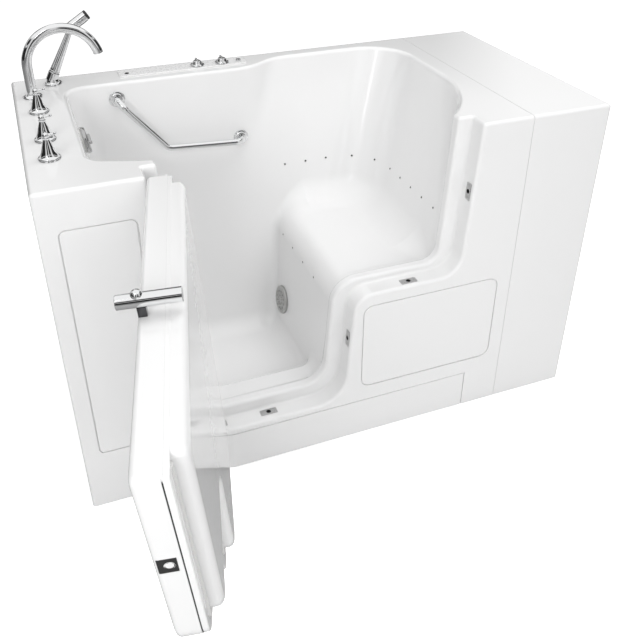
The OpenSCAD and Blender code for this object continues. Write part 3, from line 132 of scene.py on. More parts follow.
for name, location, target, size, power in (
        ("left_front_lamp", (-2.4, -3.6, 2.4), (0, 0, 0.5), (2.2, 1.8), 64),
        ("front_lamp", (0.3, -4.2, 2.3), (0, 0, 0.5), (3.0, 1.8), 37),
        ("top_lamp", (0.3, -0.6, 4.2), (0, 0, 0.6), (2.6, 2.4), 51),
        ("right_top_lamp", (1.9, 0.4, 3.6), (0, 0, 0.6), (2.0, 2.0), 28)):
    made = lamp(name, location, target, size, power)
    made.visible_glossy = False
lamp("strip_lamp", (-2.2, -2.6, 3.2), (0, 0, 0.5), (0.3, 1.8), 6)


# ---- Floor ---------------------------------------------------------------------------------------
# A plain white studio floor. It glows a little towards the camera, so that only soft shadows show
# on it, and polished surfaces mirror it as a darker grey.
floor_reach, floor_light, floor_mirrored, floor_glow = 15, 0.92, 0.32, 0.6


def material(name, colour, rough, metal=0.0, coat=0.0, speck=0.02, scale=60, bump=0.0, ior=1.5):
    """A finish with its own fine variation of roughness and, if asked, a fine relief."""
    made = bpy.data.materials.new(name)
    made.use_nodes = True
    tree = made.node_tree
    shader = tree.nodes["Principled BSDF"]
    shader.inputs["Base Color"].default_value = (*colour, 1)
    shader.inputs["Metallic"].default_value = metal
    shader.inputs["Roughness"].default_value = rough
    shader.inputs["IOR"].default_value = ior
    shader.inputs["Coat Weight"].default_value = coat
    coords = tree.nodes.new("ShaderNodeTexCoord")
    noise = tree.nodes.new("ShaderNodeTexNoise")
    noise.inputs["Scale"].default_value = scale
    noise.inputs["Detail"].default_value = 3
    tree.links.new(coords.outputs["Object"], noise.inputs["Vector"])
    ramp = tree.nodes.new("ShaderNodeMapRange")
    ramp.inputs["To Min"].default_value = max(0.0, rough - speck)
    ramp.inputs["To Max"].default_value = rough + speck
    tree.links.new(noise.outputs["Fac"], ramp.inputs["Value"])
    tree.links.new(ramp.outputs["Result"], shader.inputs["Roughness"])
    if bump:
        node = tree.nodes.new("ShaderNodeBump")
        node.inputs["Strength"].default_value = bump
        node.inputs["Distance"].default_value = 0.001
        tree.links.new(noise.outputs["Fac"], node.inputs["Height"])
        tree.links.new(node.outputs["Normal"], shader.inputs["Normal"])
    return made


floor_mesh = bpy.data.meshes.new("floor")
floor_mesh.from_pydata([
    (-floor_reach, -floor_reach, 0), (floor_reach, -floor_reach, 0), (floor_reach, floor_reach, 0),
    (-floor_reach, floor_reach, 0)], [], [(0, 1, 2, 3)])
floor = bpy.data.objects.new("floor", floor_mesh)
scene.collection.objects.link(floor)
floor_white = material("floor_white", (floor_light,) * 3, 0.6)
paint = floor_white.node_tree
paint_face = paint.nodes["Principled BSDF"]
floor_rays = paint.nodes.new("ShaderNodeLightPath")
glow = paint.nodes.new("ShaderNodeMapRange")
glow.inputs["To Min"].default_value = 0.0
glow.inputs["To Max"].default_value = floor_glow
paint.links.new(floor_rays.outputs["Is Camera Ray"], glow.inputs["Value"])
paint.links.new(glow.outputs["Result"], paint_face.inputs["Emission Strength"])
paint_face.inputs["Emission Color"].default_value = grey(1)
shade = mix_of(paint, floor_rays.outputs["Is Glossy Ray"], grey(floor_light), grey(floor_mirrored))
paint.links.new(shade, paint_face.inputs["Base Color"])
floor_mesh.materials.append(floor_white)


# ---- Tub -----------------------------------------------------------------------------------------
# One moulding of glass fibre with a gloss white gelcoat face: deck, foot well, seat, back rest,
# stepped door frame and front skirt run into each other with soft radii, 8 mm thick all over.
mm = 0.001
tub_length, tub_depth, deck_height = 1274.0, 788.0, 966.0
overall_length = 1524.0
front_left_corner = (overall_length / 2, tub_depth / 2, 0)
shell, skirt_gap, deck_lip = 8.0, 4.0, 40.0
threshold, sill, seat_height, floor_height = 151.0, 511.0, 505.0, 120.0
deck_edge, ledge_edge = 9.0, 8.0
gelcoat = material("gelcoat", (0.80, 0.80, 0.80), 0.12, coat=0.3)

# Leaning sides and walls: where each stands, at what height, and by how many degrees it leans.
hinge_side = (250.0, deck_height, -2.7)
riser_side = (747.0, threshold, 4.4)
strike_side = (1122.0, deck_height, 3.2)
left_wall = (140.0, deck_height, -10.0)
back_rest = (1213.0, deck_height, 18.0)
well_wall = (663.0, deck_height, 1.5)
seat_wall = (733.0, deck_height, 15.5)
riser_face = (699.0, floor_height, math.degrees(math.atan(53 / 385)))


def sin_cos(angle):
    return math.sin(math.radians(angle)), math.cos(math.radians(angle))


def to_room(points):
    """Moves drawing points, in millimetres from the front left corner, into the room."""
    return (np.asarray(points, float) - front_left_corner) * mm


def to_drawing(points):
    return np.asarray(points, float) / mm + front_left_corner


def both(a, b, radius, lean=0.0):
    """Distance to what lies inside two shapes, with their common edge rounded. Lean is the cosine
    of the angle between the two faces' normals."""
    u, v = a + radius, b + radius
    past = (u > lean * v) & (v > lean * u)
    arc = np.sqrt(np.maximum(u * u + v * v - 2 * lean * u * v, 0) / (1 - lean * lean)) - radius
    return np.where(past, arc, np.maximum(a, b))


def either(a, b, radius, lean=0.0):
    """Distance to two shapes joined, with a fillet between them."""
    return -both(-a, -b, radius, lean)


def leaning(across, z, side, move=0.0):
    """Distance past a leaning side, after it has moved across."""
    at, height, angle = side
    s, c = sin_cos(angle)
    return (across - at - move) * c - (z - height) * s


def edge_at(z, side):
    """Where a leaning side stands at a height."""
    at, height, angle = side
    return at + (z - height) * math.tan(math.radians(angle))


def past_line(x, y, at, facing):
    """Distance past a line on the floor plan, through a point and facing a way."""
    return ((x - at[0]) * facing[0] + (y - at[1]) * facing[1]) / math.hypot(*facing)


def soft_step(value, start, end):
    """Eases from 0 to 1 between two places."""
    t = np.clip((value - start) / (end - start), 0, 1)
    return t * t * (3 - 2 * t)


ledge_1, ledge_2, inner_cut = 60.0, 92.0, 12.0
ledge_widths = (36.0, 38.0, 42.0, 19.0, 40.0)
hinge_corner, threshold_corner, sill_corner, strike_corner = 14.0, 95.0, 60.0, 66.0
outer_edge, inner_edge, chamfer_edge = 7.0, 1.0, 3.0
# For each rounded corner, the cosine of the angle between its two faces' normals.
hinge_cosine, riser_cosine, strike_cosine = 0.047, 0.077, 0.056


def doorway(x, z, inset):
    """Distance to the L-shaped doorway, moved inwards at hinge, threshold, riser, sill, strike."""
    hinge = -leaning(x, z, hinge_side, inset[0])
    riser = leaning(x, z, riser_side, -inset[2])
    strike = leaning(x, z, strike_side, -inset[4])
    low, high = threshold + inset[1], sill + inset[3]
    step = either(riser, high - z, sill_corner + inset[3], riser_cosine)
    upper = both(step, strike, strike_corner - inset[4] / 2, strike_cosine)
    lower = both(upper, low - z, threshold_corner - inset[2] / 2, riser_cosine)
    return both(lower, hinge, hinge_corner, hinge_cosine)


back_swing, swing_start, swing_fillet, swing_bend = 34.4, 798.0, 200.0, 130.0
left_corner, front_left_bend, rest_corner, ledge_bend = 58.0, 55.0, 150.0, 60.0
front_left_cosine, rest_cosine, front_right_cosine, ledge_cosine = 0.313, 0.08, 0.643, 0.85
riser_foot_cosine, ground_cosine = 0.13, 0.15
front_left_at, front_left_facing = (140, 140), (-48, -143)
front_right_at, front_right_facing = (1213, 213), (121, -132)
rim_heights, rim_bends = (660, 940), (130, 360)
step_back, step_height, step_end, step_edge, step_foot = 168.0, 184.0, 420.0, 14.0, 26.0
step_fall, step_lean, step_deep = 0.06, 0.12, 70
seat_edge, seat_dish, riser_foot = 72.0, 6.0, 45.0
dish_left, dish_back, dish_front = (772, 822), (562, 512), (104, 150)
foot_places, foot_radii = (640, 700, 760, 850), (60, 26, 26, 88)
front_places, front_radii = (110, 230), (14, 88)
chamfer_start, chamfer_end, chamfer_slope = 250.4, 405.0, 0.3105


def basin(x, y, z):
    """Distance to the hollow of the basin: foot well, riser, seat, and the walls around them."""
    left, rest = -leaning(x, z, left_wall), leaning(x, z, back_rest)
    well_back, seat_back = leaning(y, z, well_wall), leaning(y, z, seat_wall)
    s, c = sin_cos(back_swing)
    swing = (y - edge_at(z, (seat_wall[0], deck_height, well_wall[2]))) * c - (x - swing_start) * s
    back = both(either(well_back, swing, swing_fillet, c), seat_back, swing_bend, c)
    walls = both(left, back, left_corner)
    walls = both(walls, past_line(x, y, front_left_at, front_left_facing), front_left_bend,
                 front_left_cosine)
    walls = both(walls, rest, rest_corner, rest_cosine)
    front_right = past_line(x, y, front_right_at, front_right_facing)
    walls = both(walls, front_right, np.interp(z, rim_heights, rim_bends), front_right_cosine)
    walls = both(walls, ledge_2 - y, ledge_bend, ledge_cosine)
    beside_door = (step_back + (step_end - x) * chamfer_slope - y) / math.hypot(1, chamfer_slope)
    step_face = np.maximum(step_back - y, beside_door)
    step_face = step_face + np.clip(step_height + 1 - z, 0, step_deep) * step_lean
    step = either(step_height - z - (y - ledge_2) * step_fall, step_face, step_edge)
    ground = both(floor_height - z + 0 * x, step, step_foot)
    dish = soft_step(x, *dish_left) * soft_step(y, *dish_back) * soft_step(y, *dish_front)
    ground = either(both(leaning(x, z, riser_face), ground, riser_foot, riser_foot_cosine),
                    seat_height - seat_dish * dish - z, seat_edge)
    foot = np.minimum(np.interp(x, foot_places, foot_radii), np.interp(y, front_places, front_radii))
    return both(walls, ground, foot, ground_cosine)


def tub_distance(x, y, z):
    """Distance to the tub's gelcoat face, positive in the air, as if the tub were filled."""
    inner = both(doorway(x, z, ledge_widths), y - ledge_2 - inner_cut, inner_edge)
    outer = both(doorway(x, z, (0,) * 5), y - ledge_1, outer_edge)
    hollow = either(either(basin(x, y, z), inner, ledge_edge), outer, ledge_edge + 1)
    block = both(both(-y, z - deck_height, deck_edge), -x, deck_edge)
    block = both(block, y - tub_depth, deck_edge)
    wedge = ((chamfer_end - x) * chamfer_slope - y) / math.hypot(1, chamfer_slope)
    chamfer = np.maximum(np.maximum(z - threshold, chamfer_start - x), -wedge)
    return both(both(block, -chamfer, chamfer_edge), -hollow, deck_edge)


def moulded_surface(distance, low, high, step, near_surface=6.5):
    """Surface of a distance field: one point in each grid cell that the surface crosses, pulled
    onto the surface, and one face for each grid edge that it crosses. Only points within some
    cells of the surface get their own distance, and the others share one with their neighbours."""
    axes = [a + step * (np.arange(-2, 4 * math.ceil((b - a) / step / 4) + 3))
            for a, b in zip(low, high)]
    coarse = distance(*np.meshgrid(*[a[1::4] for a in axes], indexing="ij", sparse=True))
    n = [len(a) for a in axes]
    nearest = [np.minimum((np.arange(k) + 1) // 4, c - 1) for k, c in zip(n, coarse.shape)]
    field = coarse[np.ix_(*nearest)]
    near = np.nonzero(np.abs(field) < near_surface * step)
    field[near] = distance(*[a[i] for a, i in zip(axes, near)])
    inside = field < 0
    corners = [inside[i:n[0] - 1 + i, j:n[1] - 1 + j, k:n[2] - 1 + k]
               for i in (0, 1) for j in (0, 1) for k in (0, 1)]
    mixed = np.logical_or.reduce(corners) & ~np.logical_and.reduce(corners)
    index = np.full(mixed.shape, -1, np.int64)
    cells = np.argwhere(mixed)
    index[mixed] = np.arange(len(cells))
    total, weight = np.zeros((len(cells), 3)), np.zeros(len(cells))
    for axis in range(3):
        for u in (0, 1):
            for v in (0, 1):
                offset = [0, 0, 0]
                offset[(axis + 1) % 3], offset[(axis + 2) % 3] = u, v
                a = field[tuple((cells + offset).T)]
                offset[axis] = 1
                b = field[tuple((cells + offset).T)]
                offset[axis] = 0
                hit = (a < 0) != (b < 0)
                point = cells + np.array(offset, float)
                point[:, axis] += np.where(hit, a / np.where(hit, a - b, 1), 0)
                total += np.where(hit[:, None], point, 0)
                weight += hit
    points = np.array([a[0] for a in axes]) + total / weight[:, None] * step
    for _ in range(3):
        value, slope = distance(*points.T), slope_at(distance, points)
        size = np.maximum((slope ** 2).sum(1), 0.25)
        points = points - np.clip(value / size, -step / 2, step / 2)[:, None] * slope
    faces = []
    for axis in range(3):
        a = inside[tuple(slice(0, n[i] - 1) if i == axis else slice(1, n[i] - 1) for i in range(3))]
        b = inside[tuple(slice(1, n[i]) if i == axis else slice(1, n[i] - 1) for i in range(3))]
        where = np.argwhere(a != b)
        first = a[tuple(where.T)]
        where = where + [0 if i == axis else 1 for i in range(3)]
        u, v = np.eye(3, dtype=int)[(axis + 1) % 3], np.eye(3, dtype=int)[(axis + 2) % 3]
        ring = np.stack([index[tuple((where - p).T)] for p in (u + v, v, 0 * u, u)], axis=1)
        ring[~first] = ring[~first, ::-1]
        faces.append(ring)
    return points, np.concatenate(faces)


def slope_at(distance, points, reach=0.05):
    """How a distance changes along each axis, at each point."""
    value = distance(*points.T)
    return np.stack([(distance(*(points + d).T) - value) / reach for d in reach * np.eye(3)], axis=1)


def mesh_piece(name, points, faces, finish, slot, body=None):
    """A new piece from drawing points in millimetres, with its finish and body. The slot is not used."""
    mesh = bpy.data.meshes.new(name)
    mesh.from_pydata(to_room(points).tolist(), [], [tuple(map(int, f)) for f in faces])
    made = bpy.data.objects.new(name, mesh)
    scene.collection.objects.link(made)
    mesh.materials.append(finish)
    if body:
        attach(made, body)
    return made


def edit(piece, work):
    """Runs one piece of mesh work on an object's mesh."""
    edited = bmesh.new()
    edited.from_mesh(piece.data)
    work(edited)
    edited.to_mesh(piece.data)
    edited.free()


def slice_off(edited, at, normal, clear):
    """Cuts a mesh by a plane given in drawing millimetres, and clears what lies beyond it."""
    everything = edited.verts[:] + edited.edges[:] + edited.faces[:]
    bmesh.ops.bisect_plane(
        edited, geom=everything, dist=1e-6, plane_co=Vector(to_room(at)), plane_no=Vector(normal),
        clear_outer=clear)


def apply_modifiers(piece):
    """Bakes a piece's modifiers into its mesh."""
    made = piece.evaluated_get(bpy.context.evaluated_depsgraph_get())
    mesh = bpy.data.meshes.new_from_object(made)
    piece.modifiers.clear()
    old, piece.data = piece.data, mesh
    bpy.data.meshes.remove(old)


def outwards(piece):
    """Turns every face of a closed piece outwards."""
    edit(piece, lambda m: bmesh.ops.recalc_face_normals(m, faces=m.faces[:]))


def carve(piece, cutters):
    """Takes a list of closed cutters, given as points and faces, out of a piece."""
    points, faces = [], []
    for cut_points, cut_faces in cutters:
        faces += [[i + len(points) for i in f] for f in cut_faces]
        points += list(cut_points)
    cutter = mesh_piece(piece.name + "_cutter", points, faces, gelcoat, None)
    outwards(cutter)
    cut = piece.modifiers.new("cut", "BOOLEAN")
    cut.operation, cut.solver, cut.object = "DIFFERENCE", "MANIFOLD", cutter
    bpy.context.view_layer.update()
    apply_modifiers(piece)
    bpy.data.objects.remove(cutter)


def prism(outline, axis, low, high):
    """A closed prism: an outline in two axes, drawn out along the third."""
    outline = np.asarray(outline, float)
    others = [i for i in range(3) if i != axis]
    points = np.zeros((2 * len(outline), 3))
    points[:, others] = np.concatenate([outline, outline])
    points[:, axis] = np.repeat([low, high], len(outline))
    n = len(outline)
    faces = [list(range(n))[::-1], list(range(n, 2 * n))]
    faces += [[i, (i + 1) % n, n + (i + 1) % n, n + i] for i in range(n)]
    x, y = outline.T
    clockwise = (x * np.roll(y, -1) - y * np.roll(x, -1)).sum() < 0
    if clockwise != (axis == 1):
        faces = [f[::-1] for f in faces]
    return points, faces


def disc(centre, radius, count=32):
    """The outline of a round hole."""
    turn = np.linspace(0, 2 * math.pi, count, endpoint=False)
    return np.stack([centre[0] + radius * np.cos(turn), centre[1] + radius * np.sin(turn)], axis=1)


def rounded_rectangle(x, z, x2, z2, radius, count=8):
    """The outline of a rectangle between two corners, with its own corners rounded."""
    turn = np.linspace(0, math.pi / 2, count)
    arcs = []
    for i, (cx, cz) in enumerate([(x2, z2), (x, z2), (x, z), (x2, z)]):
        centre = (cx - radius * math.copysign(1, cx - (x + x2) / 2),
                  cz - radius * math.copysign(1, cz - (z + z2) / 2))
        t = turn + i * math.pi / 2
        arcs.append(np.stack([centre[0] + radius * np.cos(t), centre[1] + radius * np.sin(t)], 1))
    return np.concatenate(arcs)


def loft(rings):
    """A skin over rings of points that match one to one, with its two ends closed."""
    n = len(rings[0])
    faces = []
    for k in range(len(rings) - 1):
        for i in range(n):
            j = (i + 1) % n
            faces.append([k * n + i, k * n + j, (k + 1) * n + j, (k + 1) * n + i])
    faces.append(list(range(n))[::-1])
    faces.append(list(range((len(rings) - 1) * n, len(rings) * n)))
    return np.concatenate(rings), faces


def turned(profile, at, axis, count=24):
    """A turned part: rings of a radius at a height along its axis, closed at both ends."""
    at, axis = np.asarray(at, float), np.asarray(axis, float)
    axis = axis / np.linalg.norm(axis)
    side = np.cross(axis, (0, 0, 1) if abs(axis[2]) < 0.9 else (1, 0, 0))
    side /= np.linalg.norm(side)
    turn = np.linspace(0, 2 * math.pi, count, endpoint=False)[:, None]
    ring = np.cos(turn) * side + np.sin(turn) * np.cross(axis, side)
    return loft([at + axis * h + ring * max(r, 0.02) for r, h in profile])


def round_bar(start, end, radius, count=20, tip=0.6):
    """A bar between two points, with a small chamfer at each end."""
    along = np.asarray(end, float) - start
    length = np.linalg.norm(along)
    return turned([(radius - tip, 0), (radius, tip), (radius, length - tip), (radius - tip, length)],
                  start, along, count)


def hole(at, towards, radius, depth, beyond=12.0):
    """A cutter for a bore, from a depth behind a face to some way beyond it."""
    at, towards = np.asarray(at, float), np.asarray(towards, float)
    return round_bar(at - towards * depth, at + towards * beyond, radius, 32, 0.01)


bolt_y, low_bolt_y, strike_hole = 24.0, 34.0, 6.75
jamb_bolt_z, riser_bolt_z, sill_bolt_x, threshold_bolt_xs = 764.0, 360.0, 945.0, (523.0, 373.0)


def bolt_places(gap):
    """Where the bolts for strike side, riser, sill and threshold cross the doorway's sides, moved
    inwards by a gap, and which way each one shoots."""
    places = []
    for z, side in ((jamb_bolt_z, strike_side), (riser_bolt_z, riser_side)):
        s, c = sin_cos(side[2])
        places.append(((edge_at(z, side) - gap, bolt_y, z), (c, 0, -s)))
    places.append(((sill_bolt_x, bolt_y, sill + gap), (0, 0, -1)))
    for x in threshold_bolt_xs:
        places.append(((x, low_bolt_y, threshold + gap), (0, 0, -1)))
    return places


# Each panel's left, lower, right and upper side, and the radius of its corners.
side_panel = (46, 193, 218, 866, 14)
seat_panel = (801, 187, 1229, 470, 28)
plinth_right, plinth_height, panel_gap, panel_lap, rebate = 1153.0, 131.0, 3.0, 20.0, 4.3


def grown_panel(panel, by):
    """A panel's outline, larger or smaller all round."""
    x, z, x2, z2, r = panel
    return rounded_rectangle(x - by, z - by, x2 + by, z2 + by, r + max(by, 0))


def drawn_points(mesh):
    """A mesh's points in drawing millimetres."""
    points = np.empty(len(mesh.vertices) * 3)
    mesh.vertices.foreach_get("co", points)
    return to_drawing(points.reshape(-1, 3))


def smooth_moulding(piece, distance, tolerance=0.12):
    """Takes the shading of the moulded face from the drawing's own slopes, and leaves the cut
    edges and the back of the shell with the slopes of their faces."""
    mesh = piece.data
    points = drawn_points(mesh)
    value, slope = distance(*points.T), slope_at(distance, points)
    slope /= np.maximum(np.linalg.norm(slope, axis=1), 1e-6)[:, None]
    loops = np.empty(len(mesh.loops), np.int64)
    mesh.loops.foreach_get("vertex_index", loops)
    size = np.empty(len(mesh.polygons), np.int64)
    mesh.polygons.foreach_get("loop_total", size)
    flat = np.empty(len(mesh.polygons) * 3)
    mesh.polygon_normals.foreach_get("vector", flat)
    flat = np.repeat(flat.reshape(-1, 3), size, axis=0)
    on_face = (np.abs(value[loops]) < tolerance) & ((flat * slope[loops]).sum(1) > 0.75)
    normals = np.where(on_face[:, None], slope[loops], flat)
    mesh.shade_smooth()
    mesh.normals_split_custom_set(normals.tolist())


def trim_tub(edited):
    """Opens the block at its right end and underneath, and at its left and back below the deck's
    lips."""
    skirt_back = deck_edge + 5
    slice_off(edited, (tub_length, 0, 0), (1, 0, 0), True)
    slice_off(edited, (0, 0, skirt_gap), (0, 0, -1), True)
    slice_off(edited, (0, 0, deck_height - deck_lip), (0, 0, -1), False)
    slice_off(edited, (0, skirt_back, 0), (0, 1, 0), False)
    left, back = to_room((0, tub_depth, 0))[:2]
    front, under = to_room((0, skirt_back, deck_height - deck_lip))[1:]
    near = (deck_edge + 0.5) * mm
    open_sides = []
    for face in edited.faces:
        middle = face.calc_center_median()
        at_left = middle.x < left + near and middle.y > front
        if middle.z < under and (at_left or middle.y > back - near):
            open_sides.append(face)
    bmesh.ops.delete(edited, geom=open_sides, context="FACES")


def thicken(piece, even):
    """Gives a skin the laminate's thickness, inwards."""
    thick = piece.modifiers.new("thickness", "SOLIDIFY")
    thick.thickness, thick.offset = shell * mm, -1
    thick.use_even_offset = even
    apply_modifiers(piece)


cell, kept_share, spare = 4.0, 0.3, 6.0
points, faces = moulded_surface(
    tub_distance, (0, 0, 0), (tub_length + spare, tub_depth, deck_height), cell)
tub = mesh_piece("tub", points, faces, gelcoat, "gelcoat", "tub")
edit(tub, trim_tub)
fewer = tub.modifiers.new("fewer", "DECIMATE")
fewer.ratio = kept_share
thicken(tub, False)
past, plinth_past = 3.0, 5.0
through = shell + past
plinth_end, plinth_lap = plinth_right + panel_gap, plinth_right - panel_lap
recess_bend, recess_left_y = 405.6, 52.5
carve(tub, [
    prism(grown_panel(panel, panel_gap), 1, -past, rebate) for panel in (side_panel, seat_panel)] + [
    prism([(chamfer_start, -plinth_past), (plinth_end, -plinth_past), (plinth_end, rebate),
           (recess_bend, rebate), (chamfer_start, recess_left_y)], 2, -past, plinth_height + panel_gap)])
strikes = bolt_places(0)
drain_at, drain_bore = (400.0, 420.0, floor_height), 22.0
carve(tub, [hole(at, towards, strike_hole, 6, 14) for at, towards in strikes] + [
    prism(grown_panel(panel, -panel_lap), 1, -past, through) for panel in (side_panel, seat_panel)] + [
    prism([(chamfer_end, -plinth_past), (plinth_lap, -plinth_past), (plinth_lap, through),
           (chamfer_end, through)], 2, -past, plinth_height - panel_lap),
    prism(disc(drain_at[:2], drain_bore), 2, floor_height - 20, floor_height + 6)])
smooth_moulding(tub, tub_distance)
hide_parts("basin_shell", "deck_rim", "front_apron")


# ---- Extension panel -----------------------------------------------------------------------------
# A moulded end piece of the same gelcoat that fills the recess beyond the tub's right end: top and
# front with rounded outer edges and a short lip behind and at the right, butted to the tub.
seam_gap, extension_edge = 1.2, 9.0


def box_points(low, high):
    """The corners and faces of a block."""
    corners = [(x, y, z) for z in (low[2], high[2]) for y in (low[1], high[1]) for x in (low[0], high[0])]
    return corners, [(0, 2, 3, 1), (4, 5, 7, 6), (0, 1, 5, 4), (2, 6, 7, 3), (0, 4, 6, 2), (1, 3, 7, 5)]


def shape_extension(edited):
    """Rounds the block's outer edges and takes away its open sides."""
    seam, front, under = to_room((tub_length + seam_gap, extension_edge + 1, deck_height - deck_lip))
    top, low = deck_height * mm, skirt_gap * mm
    near = 1e-6
    outer = []
    for edge in edited.edges:
        ends = [v.co for v in edge.verts]
        off_seam = all(abs(p.x - seam) > near for p in ends) or all(abs(p.z - top) < near for p in ends)
        on_seam = all(abs(p.x - seam) < near for p in ends)
        at_foot = all(abs(p.z - low) < near for p in ends)
        if off_seam and not on_seam and not at_foot:
            outer.append(edge)
    bmesh.ops.bevel(
        edited, geom=outer, offset=extension_edge * mm, segments=6, profile=0.5, affect="EDGES")
    slice_off(edited, (0, 0, deck_height - deck_lip), (0, 0, -1), False)
    slice_off(edited, (0, extension_edge + 1, 0), (0, 1, 0), False)
    open_sides = []
    for face in edited.faces:
        middle = face.calc_center_median()
        behind = middle.z < under and middle.y > front
        if abs(middle.x - seam) < near or abs(middle.z - low) < near or behind:
            open_sides.append(face)
    bmesh.ops.delete(edited, geom=open_sides, context="FACES")


def harden(piece, angle=35):
    """Smooth shading that keeps edges sharper than the angle."""
    def mark_edges(edited):
        for edge in edited.edges:
            edge.smooth = (len(edge.link_faces) == 2
                           and edge.calc_face_angle(0) < math.radians(angle))

    piece.data.shade_smooth()
    edit(piece, mark_edges)
    weigh = piece.modifiers.new("weigh", "WEIGHTED_NORMAL")
    weigh.keep_sharp = True
    apply_modifiers(piece)


extension = mesh_piece("extension", *box_points(
    (tub_length + seam_gap, 0, skirt_gap), (overall_length, tub_depth, deck_height)),
    gelcoat, "gelcoat", "tub")
edit(extension, shape_extension)
thicken(extension, True)
harden(extension)
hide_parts("extension_panel")


# ---- Access panels and plinth --------------------------------------------------------------------
# Sawn and sanded plates of the gelcoat laminate, 4 mm thick, with softened edges. Short studs on
# their backs press into bores of the skirt, so that each pulls straight out.
plate_thick, plate_edge, back_edge = 4.0, 1.3, 0.4
stud_radius, stud_length, stud_side, stud_end, plinth_stud = 4.0, 12.0, 11.0, 22.0, 11.0
plinth_stud_xs = (480, 779, 1080)
panel_white = material("panel_white", (0.80, 0.80, 0.80), 0.16, coat=0.3)


def front_ring(outline, y):
    """An outline seen from the front, set at a depth."""
    return np.insert(np.asarray(outline, float), 1, y, axis=1)


def joined(*parts):
    """Several skins in one list of points and one of faces."""
    points, faces, count = [], [], 0
    for part_points, part_faces in parts:
        points.append(np.asarray(part_points, float))
        faces += [[i + count for i in f] for f in part_faces]
        count += len(part_points)
    return np.concatenate(points), faces


def stud(x, z):
    return round_bar((x, plate_thick - 1, z), (x, plate_thick + stud_length, z), stud_radius)


for name, (x, z, x2, z2, r), body, node in (
        ("side_panel_plate", side_panel, "side_panel", "side_access_panel"),
        ("seat_panel_plate", seat_panel, "seat_panel", "seat_access_panel")):
    edges = [(plate_edge * (1 - s), plate_edge * (1 - c)) for s, c in map(sin_cos, (0, 30, 60, 90))]
    edges += [(0, plate_thick - back_edge), (back_edge, plate_thick)]
    rings = [front_ring(rounded_rectangle(x + e, z + e, x2 - e, z2 - e, r - e), y) for e, y in edges]
    studs = [stud(a, b) for a in (x + stud_side, x2 - stud_side) for b in (z + stud_end, z2 - stud_end)]
    plate = mesh_piece(name, *joined(loft(rings), *studs), panel_white, "panel_white", body)
    outwards(plate)
    harden(plate)
    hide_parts(node)

chamfer_stretch = math.hypot(1, chamfer_slope)
plinth_rings = []
for inset, depth in ((plate_edge, 0), (back_edge, back_edge), (0, plate_edge), (0, plate_thick)):
    low, high = skirt_gap + inset, plinth_height - inset
    left, bend, right = chamfer_start + panel_gap + inset, chamfer_end + depth * 0.15, plinth_right - inset
    left_y = (chamfer_end - left) * chamfer_slope + depth * chamfer_stretch
    lower = [(right, depth, low), (bend, depth, low), (left, left_y, low)]
    plinth_rings.append(np.array(lower + [(x, y, high) for x, y, _ in lower[::-1]]))
studs = [stud(x, plinth_height - plinth_stud) for x in plinth_stud_xs]
plinth = mesh_piece(
    "plinth_plate", *joined(loft(plinth_rings), *studs), panel_white, "panel_white", "plinth_panel")


def split_bend(edited):
    """Divides the plinth's six-sided faces along the bend, so that each half is flat."""
    bend_x = to_room((chamfer_end, 0, 0))[0]
    for face in [f for f in edited.faces if len(f.verts) == 6]:
        bend = [v for v in face.verts if abs(v.co.x - bend_x) < 2 * mm]
        bmesh.utils.face_split(face, bend[0], bend[1])
    bmesh.ops.recalc_face_normals(edited, faces=edited.faces[:])


edit(plinth, split_bend)
harden(plinth, 12)
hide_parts("plinth_panel")


# ---- Door ----------------------------------------------------------------------------------------
# Two gelcoat mouldings bonded back to back: a flat outer pan, and an inner one whose raised plug
# fills the stepped frame. A black sealing bead runs in the seam between them. The door is drawn
# closed, in its doorway, and then swung open about its leaning hinge line.
pan_thick, seam_thick, flange_thick, door_thick = 44.0, 1.5, 6.5, 84.0
door_gap, pan_edge, plug_edge, top_corner, rim_rise = 4.0, 10.0, 14.0, 10.0, 4.6
gasket_width, gasket_height, gasket_gap = 12.0, 7.5, 1.5
hinge_point = np.array((256.0, 4.0, 966.0))
hinge_line = np.array((math.tan(math.radians(hinge_side[2])), math.tan(math.radians(1.0)), 1.0))
hinge_zs, pocket_radius, pocket_reach, pocket_half = (230, 555, 880), 6.5, 60, 47
door_turn, corner_steps = -102.7, 10


def rounded_outline(corners, radii, count=corner_steps):
    """Rounds the corners of an outline and returns its points in order."""
    corners = np.asarray(corners, float)
    points = []
    for i, (corner, radius) in enumerate(zip(corners, radii)):
        back = corners[i - 1] - corner
        ahead = corners[(i + 1) % len(corners)] - corner
        back, ahead = back / np.linalg.norm(back), ahead / np.linalg.norm(ahead)
        half = math.acos(np.clip(back @ ahead, -1, 1)) / 2
        middle = back + ahead
        centre = corner + middle / np.linalg.norm(middle) * radius / math.sin(half)
        start = corner + back * radius / math.tan(half) - centre
        end = corner + ahead * radius / math.tan(half) - centre
        turn = math.atan2(start[0] * end[1] - start[1] * end[0], start @ end)
        for k in range(count + 1):
            s, c = math.sin(turn * k / count), math.cos(turn * k / count)
            points.append(centre + (start[0] * c - start[1] * s, start[0] * s + start[1] * c))
    return np.array(points)


def door_outline(inset, top):
    """The door's outline in the closed doorway, inset at hinge, threshold, riser, sill, strike."""
    low, high = threshold + inset[1], sill + inset[3]
    corners = [(edge_at(z, side) + move, z) for z, side, move in (
        (top, hinge_side, inset[0]), (low, hinge_side, inset[0]),
        (low, riser_side, -inset[2]), (high, riser_side, -inset[2]),
        (high, strike_side, -inset[4]), (top, strike_side, -inset[4]))]
    return rounded_outline(corners, (
        top_corner, max(hinge_corner - inset[1] / 3, 6), threshold_corner - inset[2] / 2,
        sill_corner + inset[3], strike_corner - inset[4] / 2, top_corner))


def door_ring(y, inset, drop):
    return front_ring(door_outline(inset, deck_height - drop), y)


def all_round(inset):
    return np.full(5, float(inset))


